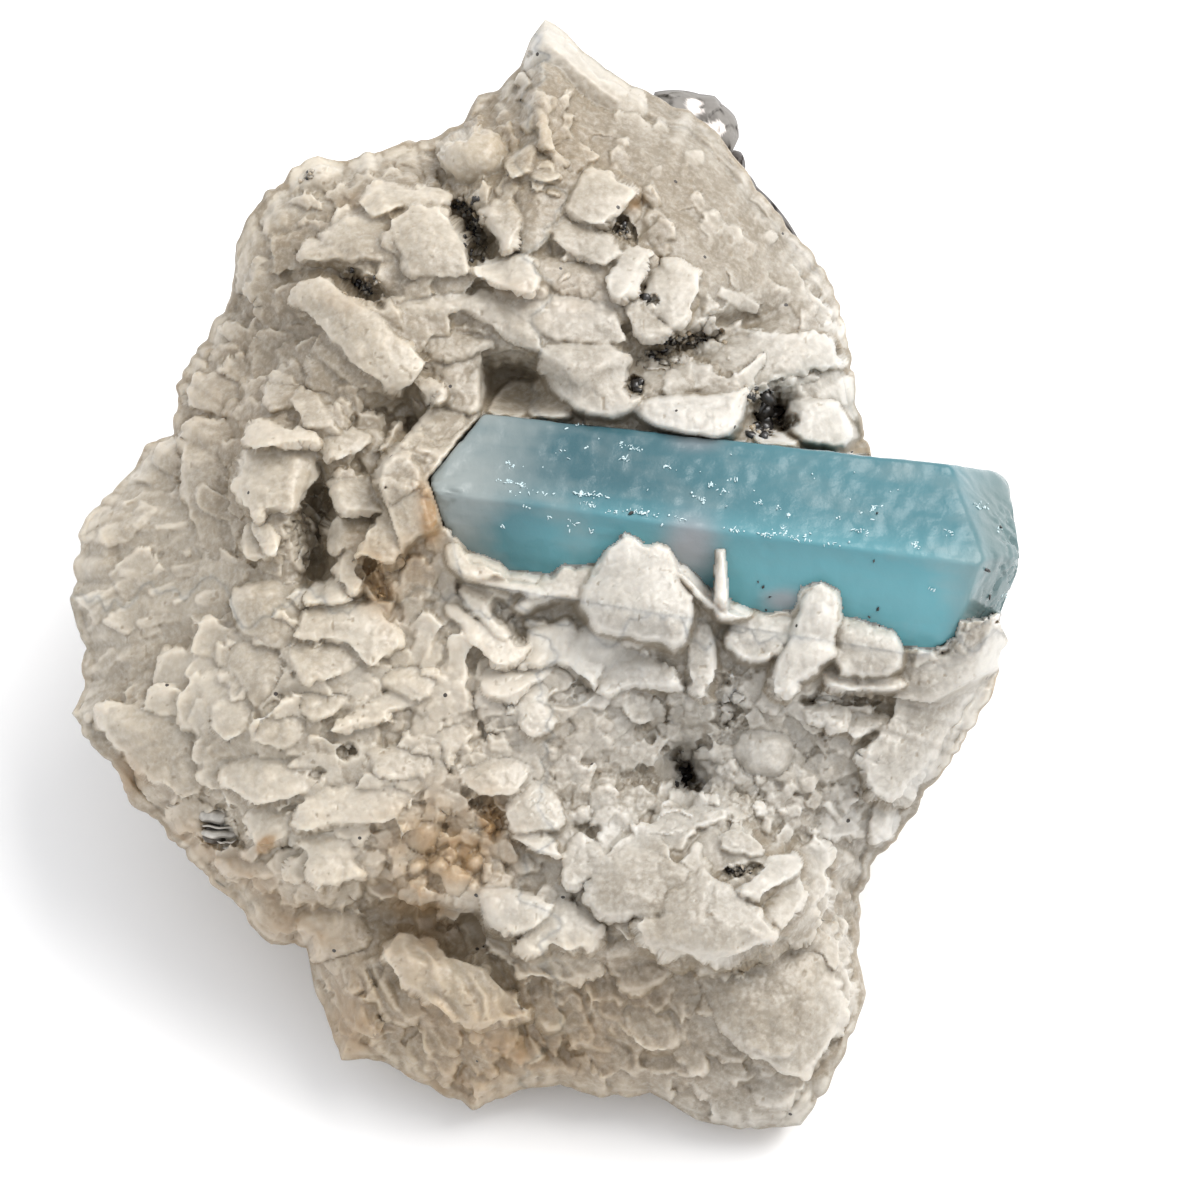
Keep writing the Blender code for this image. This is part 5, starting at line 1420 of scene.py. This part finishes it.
# %% Frost, blue and blush
seen_col, seen_row, _ = seen_at(surface)
frost = 0.75 / (1 + np.exp((seen_col - 505) / 26))
for *place, strength in (
    (625, 470, 46, 24, 0.12), (840, 470, 60, 16, 0.10), (960, 500, 40, 50, 0.20), (900, 470, 34, 12, 0.16),
    (515, 535, 30, 34, -0.5), (520, 455, 40, 40, 0.08), (580, 540, 16, 34, 0.16), (700, 450, 40, 20, -0.12),
    (870, 590, 60, 30, -0.12), (980, 600, 34, 40, 0.25), (760, 470, 30, 40, -0.10),
):
    frost = frost + strength * bell(seen_col, seen_row, *place)
drawn_out = surface - ((surface - prism_middle) @ axis)[..., None] * axis * 0.72
clouds = 0.6 * value_noise(drawn_out / 1.5, 241) + 0.5 * value_noise(drawn_out / 0.6, 242)
streaks = value_noise(around_only / 0.45, 243)
frost = frost + 0.3 + 0.13 * clouds + 0.05 * streaks
frost = np.append(np.clip(frost, 0, 1).ravel(), (0.9, 0.8))
blushes = np.zeros(seen_col.shape)
for col, row, half_width, half_height in ((690, 548, 30, 34), (784, 601, 22, 12), (696, 440, 26, 12)):
    out = ((seen_col - col) / half_width) ** 2 + ((seen_row - row) / half_height) ** 2
    blushes = np.maximum(blushes, np.exp(-(out**1.5)) * (0.6 if row > 500 else 0.25))
# Share of the darker colour on the right end's facets: painted shade.
right_end_shade_share = smooth_step((ways @ axis - 0.15) / 0.5) * (seen_col > 900)
# Share of the lighter blue: the lower side, as painted light, and a little of the upper side towards the right.
lower_side = smooth_step(0.5 - 1.2 * (ways @ prism_up))
upper_side = 0.3 * (1 - lower_side) * smooth_step((seen_col - 580) / 250)
blue_and_painted_light = lower_side * smooth_step((seen_col - 420) / 200) + upper_side
prism_fields = dict(
    frost=frost, blue=np.append(blue_and_painted_light.ravel(), (0, 0)), blush=np.append(blushes.ravel(), (0, 0)),
    right_end_shade=np.append(right_end_shade_share.ravel(), (0, 1)),
)
points = np.vstack((surface.reshape(-1, 3), poles))
prism = add_mesh("aquamarine_prism", points, tube_faces(len(travel), RIBS), aquamarine, prism_fields)
print("prism from", surface.reshape(-1, 3).min(0).round(1), "to", surface.reshape(-1, 3).max(0).round(1))

# %% [markdown]
# Cleavage cracks in the prism catch the light as rows of tiny white chips, and a few black grains sit on it.
# Each is a small uneven ball, half sunk in the surface. One ball of few faces is copied for all of them,
# with sizes and a turn of its own.

# %% Chips, grains and how they are strewn
def unit_ball(lat, lon):
    """A closed ball of few faces: rings of points between two poles, wound outwards."""
    polar = np.linspace(0, math.pi, lat + 1)[1:-1, None]
    round_ = np.linspace(0, 2 * math.pi, lon, endpoint=False)[None]
    wide, high = np.sin(polar), np.cos(polar)
    ring = np.stack((wide * np.cos(round_), wide * np.sin(round_), high + 0 * round_), -1)
    points = np.vstack((ring.reshape(-1, 3), (0, 0, 1), (0, 0, -1)))
    return points, *tube_faces(lat - 1, lon)


def strew(name, material, centres, sizes, seed, lat=4, lon=6, uneven=0.25, looks=None):
    """Many copies of the ball, each scaled by its own three sizes, made uneven, and turned at random:
    a random turn is the orthogonal part of a random matrix."""
    points, body, tips = unit_ball(lat, lon)
    luck = np.random.default_rng(seed)
    turns, _ = np.linalg.qr(luck.normal(size=(len(centres), 3, 3)))
    turns *= np.sign(np.linalg.det(turns))[:, None, None]
    shaped = points * luck.uniform(1 - uneven, 1 + uneven, (len(centres), len(points), 1)) * sizes[:, None]
    placed = np.einsum("nij,nkj->nki", turns, shaped) + centres[:, None]
    steps = (np.arange(len(centres)) * len(points))[:, None, None]
    faces = [(body[None] + steps).reshape(-1, 4), (tips[None] + steps).reshape(-1, 3)]
    looks = {key: np.repeat(values, len(points)) for key, values in (looks or {}).items()}
    return add_mesh(name, placed.reshape(-1, 3), faces, material, looks, smooth=False)


def on_face(col, row, lift=0.0):
    """Points on the drawn face, looked up at the nearest grid point and lifted towards the eye."""
    return spot(col, row, face_depths[nearest_point(col, row)] + lift)


# %% [markdown]
# Each crack is given by its two ends and a number of chips. The chips gather in clumps along it.

# %% White chips on the prism
CRACKS = (
    ((500, 480), (530, 486), 26), ((508, 462), (516, 470), 14), ((478, 492), (560, 494), 14),
    ((575, 494), (622, 497), 34), ((584, 503), (600, 508), 16), ((606, 510), (620, 512), 10),
    ((630, 511), (682, 519), 36), ((610, 440), (640, 450), 26), ((622, 458), (632, 462), 10),
    ((545, 414), (556, 418), 10), ((560, 430), (580, 424), 6), ((690, 492), (704, 502), 16),
    ((710, 484), (728, 493), 22), ((728, 478), (736, 480), 6), ((745, 500), (764, 504), 10),
    ((778, 508), (788, 516), 12), ((780, 524), (786, 534), 14), ((764, 534), (815, 536), 26),
    ((735, 530), (830, 543), 26), ((856, 512), (878, 508), 20), ((856, 530), (868, 533), 16),
    ((836, 516), (842, 522), 6), ((908, 538), (918, 546), 12), ((948, 532), (958, 540), 10),
    ((970, 498), (982, 512), 12), ((985, 505), (995, 520), 6), ((925, 585), (935, 590), 5),
    ((500, 520), (506, 528), 5), ((522, 505), (530, 508), 6), ((541, 512), (552, 520), 6),
    ((566, 516), (573, 524), 6), ((590, 530), (598, 540), 5), ((996, 525), (1000, 530), 5),
    ((1002, 590), (1008, 600), 6), ((560, 452), (590, 446), 5), ((660, 466), (690, 470), 8),
)
luck = np.random.default_rng(5)


def along_crack(a, b, n):
    """Places of n chips along a crack: clumps on the way from a to b, and each chip a little off."""
    way = luck.choice(luck.uniform(0, 1, 1 + n // 5), n) + luck.normal(0, 0.09, n)
    return way[:, None] * np.subtract(b, a) + a + luck.normal(0, (1.6, 1.3), (n, 2))


chip_places = np.concatenate([along_crack(*crack) for crack in CRACKS])
more = np.column_stack((luck.uniform(520, 900, 24), luck.uniform(430, 560, 24)))
chip_places = np.vstack((chip_places, more))
chip_near, chip_far = prism_span(*chip_places.T)
lies_on = chip_near > chip_far + 1.0
chip_places, chip_near = chip_places[lies_on], chip_near[lies_on]
chip_count = len(chip_places)
chip_sizes = np.column_stack((
    0.04 + 0.20 * luck.random(chip_count) ** 2, 0.02 + 0.06 * luck.random(chip_count) ** 2,
    luck.uniform(0.03, 0.06, chip_count),
))
white_chip = principled("white_chip", Base_Color=(0.60, 0.74, 0.77, 1), Roughness=0.4)
chip_centres = spot(*chip_places.T, chip_near - 0.05)
chips = strew("aquamarine_chips", white_chip, chip_centres, chip_sizes, 3)
print("chips:", chip_count)

# %% [markdown]
# Dark grains lie in five hollows of the face, and crumbs of albite among them. Each clump says its column,
# row, half width, half height, how many grains and their size.

# %% Schorl grains and crumbs of albite
CLUSTERS = {
    "schorl_right_pit": ((770, 412, 12, 12, 9, 0.85), (756, 430, 10, 6, 6, 0.5), (752, 394, 8, 6, 8, 0.30)),
    "schorl_middle_pit": ((684, 772, 5, 9, 6, 0.60), (680, 784, 7, 6, 4, 0.4), (742, 870, 12, 5, 7, 0.26)),
    "schorl_groove": ((688, 340, 34, 8, 20, 0.30), (635, 386, 7, 6, 7, 0.45), (647, 298, 3, 3, 4, 0.42),
                      (622, 232, 9, 6, 6, 0.26), (656, 356, 10, 8, 6, 0.50)),
    "schorl_upper_cleft": ((474, 232, 9, 24, 26, 0.24), (462, 206, 9, 9, 10, 0.24), (484, 252, 6, 6, 6, 0.2)),
    "schorl_left_cleft": ((364, 287, 18, 8, 20, 0.28), (350, 275, 6, 5, 6, 0.24), (308, 176, 5, 5, 4, 0.2)),
}
schorl_pieces = []
crumb_centres = []
for name, clumps in CLUSTERS.items():
    luck = np.random.default_rng(len(schorl_pieces) + 40)
    centres, sizes = [], []
    for col, row, half_width, half_height, count, size in clumps:
        grain_cols = col + luck.normal(0, 0.5, 3 * count) * half_width
        grain_rows = row + luck.normal(0, 0.5, 3 * count) * half_height
        grain_places = on_face(grain_cols, grain_rows, 0.05)
        centres.append(grain_places[:count])
        crumb_centres.append(grain_places[count:])
        sizes.append(luck.uniform(0.4, 1.0, (count, 3)) * size)
    centres, sizes = np.vstack(centres), np.vstack(sizes)
    schorl_pieces.append(strew(name + "_grains", schorl, centres, sizes, 60, uneven=0.35))
crumb_centres = np.vstack(crumb_centres)
luck = np.random.default_rng(90)
crumb_sizes = luck.uniform(0.08, 0.26, (len(crumb_centres), 3))
crumb_looks = dict(tone=luck.uniform(0, 1, len(crumb_centres)), dirt=luck.uniform(0, 0.8, len(crumb_centres)),
                   rust=luck.uniform(0, 0.5, len(crumb_centres)))
crumbs = strew("albite_crumbs", albite, crumb_centres, crumb_sizes, 91, uneven=0.35, looks=crumb_looks)
SPECKS = np.array((
    (631, 513, 0.20), (877, 513, 0.16), (758, 582, 0.14), (763, 587, 0.14), (770, 597, 0.12),
    (766, 610, 0.16), (878, 609, 0.20), (869, 617, 0.14), (879, 626, 0.14), (1001, 527, 0.16),
    (990, 597, 0.20), (987, 570, 0.34), (874, 561, 0.18), (852, 452, 0.12),
))
speck_places, speck_sizes = SPECKS[:, :2].T, SPECKS[:, 2:] * (1.0, 0.6, 0.4)
speck_near, _ = prism_span(*speck_places)
specks = strew("schorl_specks", schorl, spot(*speck_places, speck_near), speck_sizes, 92)
print("schorl pieces:", len(schorl_pieces), "- crumbs:", len(crumb_centres))

# %% [markdown]
# The smoky quartz is one lump behind the upper right rim, and a thin dark edge that follows the rim down.
# Its surface is a function of an angle and a way from front to back, with an outline for its widest ring.

# %% Smoky quartz
QUARTZ_OUTLINE = np.array((
    (654, 92), (680, 90), (700, 94), (715, 96), (722, 104), (735, 116), (739, 138), (733, 150),
    (741, 152), (745, 171), (757, 187), (777, 207), (797, 236), (811, 261), (824, 277), (800, 285),
    (745, 245), (700, 190), (660, 135),
), float)
QUARTZ_AROUND = 260
quartz_middle = np.array((722.0, 168.0))
away = (QUARTZ_OUTLINE - quartz_middle) * (1, -1)
bearings = np.arctan2(away[:, 1], away[:, 0])
order = np.argsort(bearings)
around = np.linspace(0, 2 * math.pi, QUARTZ_AROUND, endpoint=False)
spread_out = np.interp(around, bearings[order], np.hypot(*away.T)[order], period=2 * math.pi)
deep = np.linspace(0, math.pi, 62)[1:-1, None]
share = np.sin(deep) ** 0.4
quartz_col = quartz_middle[0] + share * spread_out * np.cos(around)
quartz_row = quartz_middle[1] - share * spread_out * np.sin(around)
facing = np.cos(deep)
quartz_depth = -RIM_LEAN * (MIDDLE - quartz_row) * CELL - 1.6
quartz_depth = quartz_depth + 3.6 * np.sign(facing) * np.abs(facing) ** 0.6
quartz = spot(quartz_col, quartz_row, quartz_depth)
broken, _ = facets(quartz / 1.3, 301, 0.9)
quartz = quartz + 0.8 * np.maximum(broken, -0.8)[..., None] * EYEWARD * np.clip(facing, 0, 1)[..., None]
white_patch = bell(quartz_col, quartz_row, 713, 129, 13, 9, 2)
white_patch = np.maximum(white_patch, 0.7 * bell(quartz_col, quartz_row, 694, 106, 14, 8, 2))
white_patch = smooth_step((white_patch + 0.35 * value_noise(quartz / 0.6, 311) - 0.4) / 0.15)
white_patch = np.append(white_patch.ravel(), (0, 0))
dark_rim = np.maximum(smooth_step((quartz_row - 146) / 8), 0.7 * smooth_step((share - 0.975) / 0.02))
dark_rim = np.append(dark_rim.ravel(), (0, 0))
points = np.vstack((quartz.reshape(-1, 3), quartz[0].mean(0), quartz[-1].mean(0)))
quartz_faces = tube_faces(len(deep), QUARTZ_AROUND)
quartz_fields = dict(tone=white_patch, dirt=dark_rim)
quartz_piece = add_mesh("smoky_quartz_lump", points, quartz_faces, smoky, quartz_fields)
print("quartz points:", len(points))

# %% [markdown]
# The mica is a book of thin wavy leaves on edge. Every leaf is a closed strip: a path along its length, a
# flat loop around it.

# %% Mica
LEAVES, LONG, LOOP = 6, 40, 12
first_cols = np.array((202.0, 199.0, 202.0, 201.0, 217.0, 222.0))[:, None, None]
last_cols = np.array((247.0, 236.0, 241.0, 239.0, 237.0, 244.0))[:, None, None]
leaf_rows = np.array((830.0, 816.0, 826.5, 833.0, 841.0, 846.0))[:, None, None]
halves = np.array((15.0, 7.5, 1.3, 4.2, 1.2, 1.4))[:, None, None]
lifts = np.array((-0.7, 0.35, 0.45, 0.25, 0.30, 0.10))[:, None, None]
# The first leaf is wide, set back and dark: a sheet that stands for the dust and the shade in the gaps between the
# other leaves, painted shade.
leaf_silver_and_shade = np.array((0.0, 0.75, 1.0, 0.7, 1.0, 0.4))
along_leaf = np.linspace(-1, 1, LONG)[None, :, None]
loop = np.linspace(0, 2 * math.pi, LOOP, endpoint=False)[None, None]
leaf = np.arange(LEAVES)[:, None, None]
wave = 1.6 * np.sin(1.5 * along_leaf + 0.4 * leaf) + 0.6 * np.sin(6 * along_leaf + leaf * 1.3)
wave = wave - np.where(leaf == 0, 5.0, 0.6) * along_leaf * np.abs(along_leaf)
taper = np.sqrt(np.clip(1 - np.abs(along_leaf) ** np.where(leaf == 0, 2.6, 5.0), 0.03, 1))
leaf_cols = (first_cols + last_cols) / 2 + (last_cols - first_cols) / 2 * along_leaf + 0 * loop
leaf_rows = leaf_rows + wave - halves * taper * np.sign(np.sin(loop)) * np.abs(np.sin(loop)) ** 0.6
mica_depth = float(bare_depth(223.0, 830.0))
leaf_depths = mica_depth + lifts + 0.75 * taper * np.cos(loop) + 0.08 * np.sin(5 * along_leaf + leaf)
leaf_points = spot(leaf_cols, leaf_rows, leaf_depths)
number = np.arange(LEAVES * LONG * LOOP).reshape(LEAVES, LONG, LOOP)
beside = np.roll(number, -1, axis=2)
quads = np.stack((number[:, :-1], number[:, 1:], beside[:, 1:], beside[:, :-1]), -1).reshape(-1, 4)
tip_numbers = LEAVES * LONG * LOOP + np.arange(2 * LEAVES).reshape(2, LEAVES, 1)
first_tip = np.stack((number[:, 0], beside[:, 0], tip_numbers[0] + 0 * number[:, 0]), -1).reshape(-1, 3)
last_tip = np.stack((beside[:, -1], number[:, -1], tip_numbers[1] + 0 * number[:, 0]), -1).reshape(-1, 3)
tips = np.vstack((leaf_points[:, 0].mean(1), leaf_points[:, -1].mean(1)))
points = np.vstack((leaf_points.reshape(-1, 3), tips))
leaf_faces = [quads, np.vstack((first_tip, last_tip))]
leaf_tones = np.append(np.repeat(leaf_silver_and_shade, LONG * LOOP), np.tile(leaf_silver_and_shade, 2))
mica_piece = add_mesh("mica_leaves", points, leaf_faces, mica, dict(tone=leaf_tones))
print("mica leaves:", LEAVES)

# %% [markdown]
# ## Finish
# Every piece rides on the one body. The rock's pieces replace the solid's rock, the rounded prism replaces
# the faceted one, and the sizes before and after are printed.

# %% Ride and replace
for piece in face_pieces + [albite_wall, albite_front, crumbs]:
    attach(piece, "root")
    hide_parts("albite_matrix")
for piece in (prism, chips):
    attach(piece, "root")
    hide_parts("aquamarine_crystal")
for piece, node in zip(schorl_pieces + [specks], [*CLUSTERS, "aquamarine_crystal"]):
    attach(piece, "root")
    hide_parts(node)
for piece, node, slot in ((quartz_piece, "smoky_quartz", "smoky_quartz"), (mica_piece, "mica_book", "mica")):
    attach(piece, "root")
    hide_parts(node)

# %% Sizes
finished_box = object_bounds()
sizes = {name: [list(corner) for corner in box] for name, box in (("cad", measured_box), ("visual", finished_box))}
print("cad", measured_box)
print("visual", finished_box)
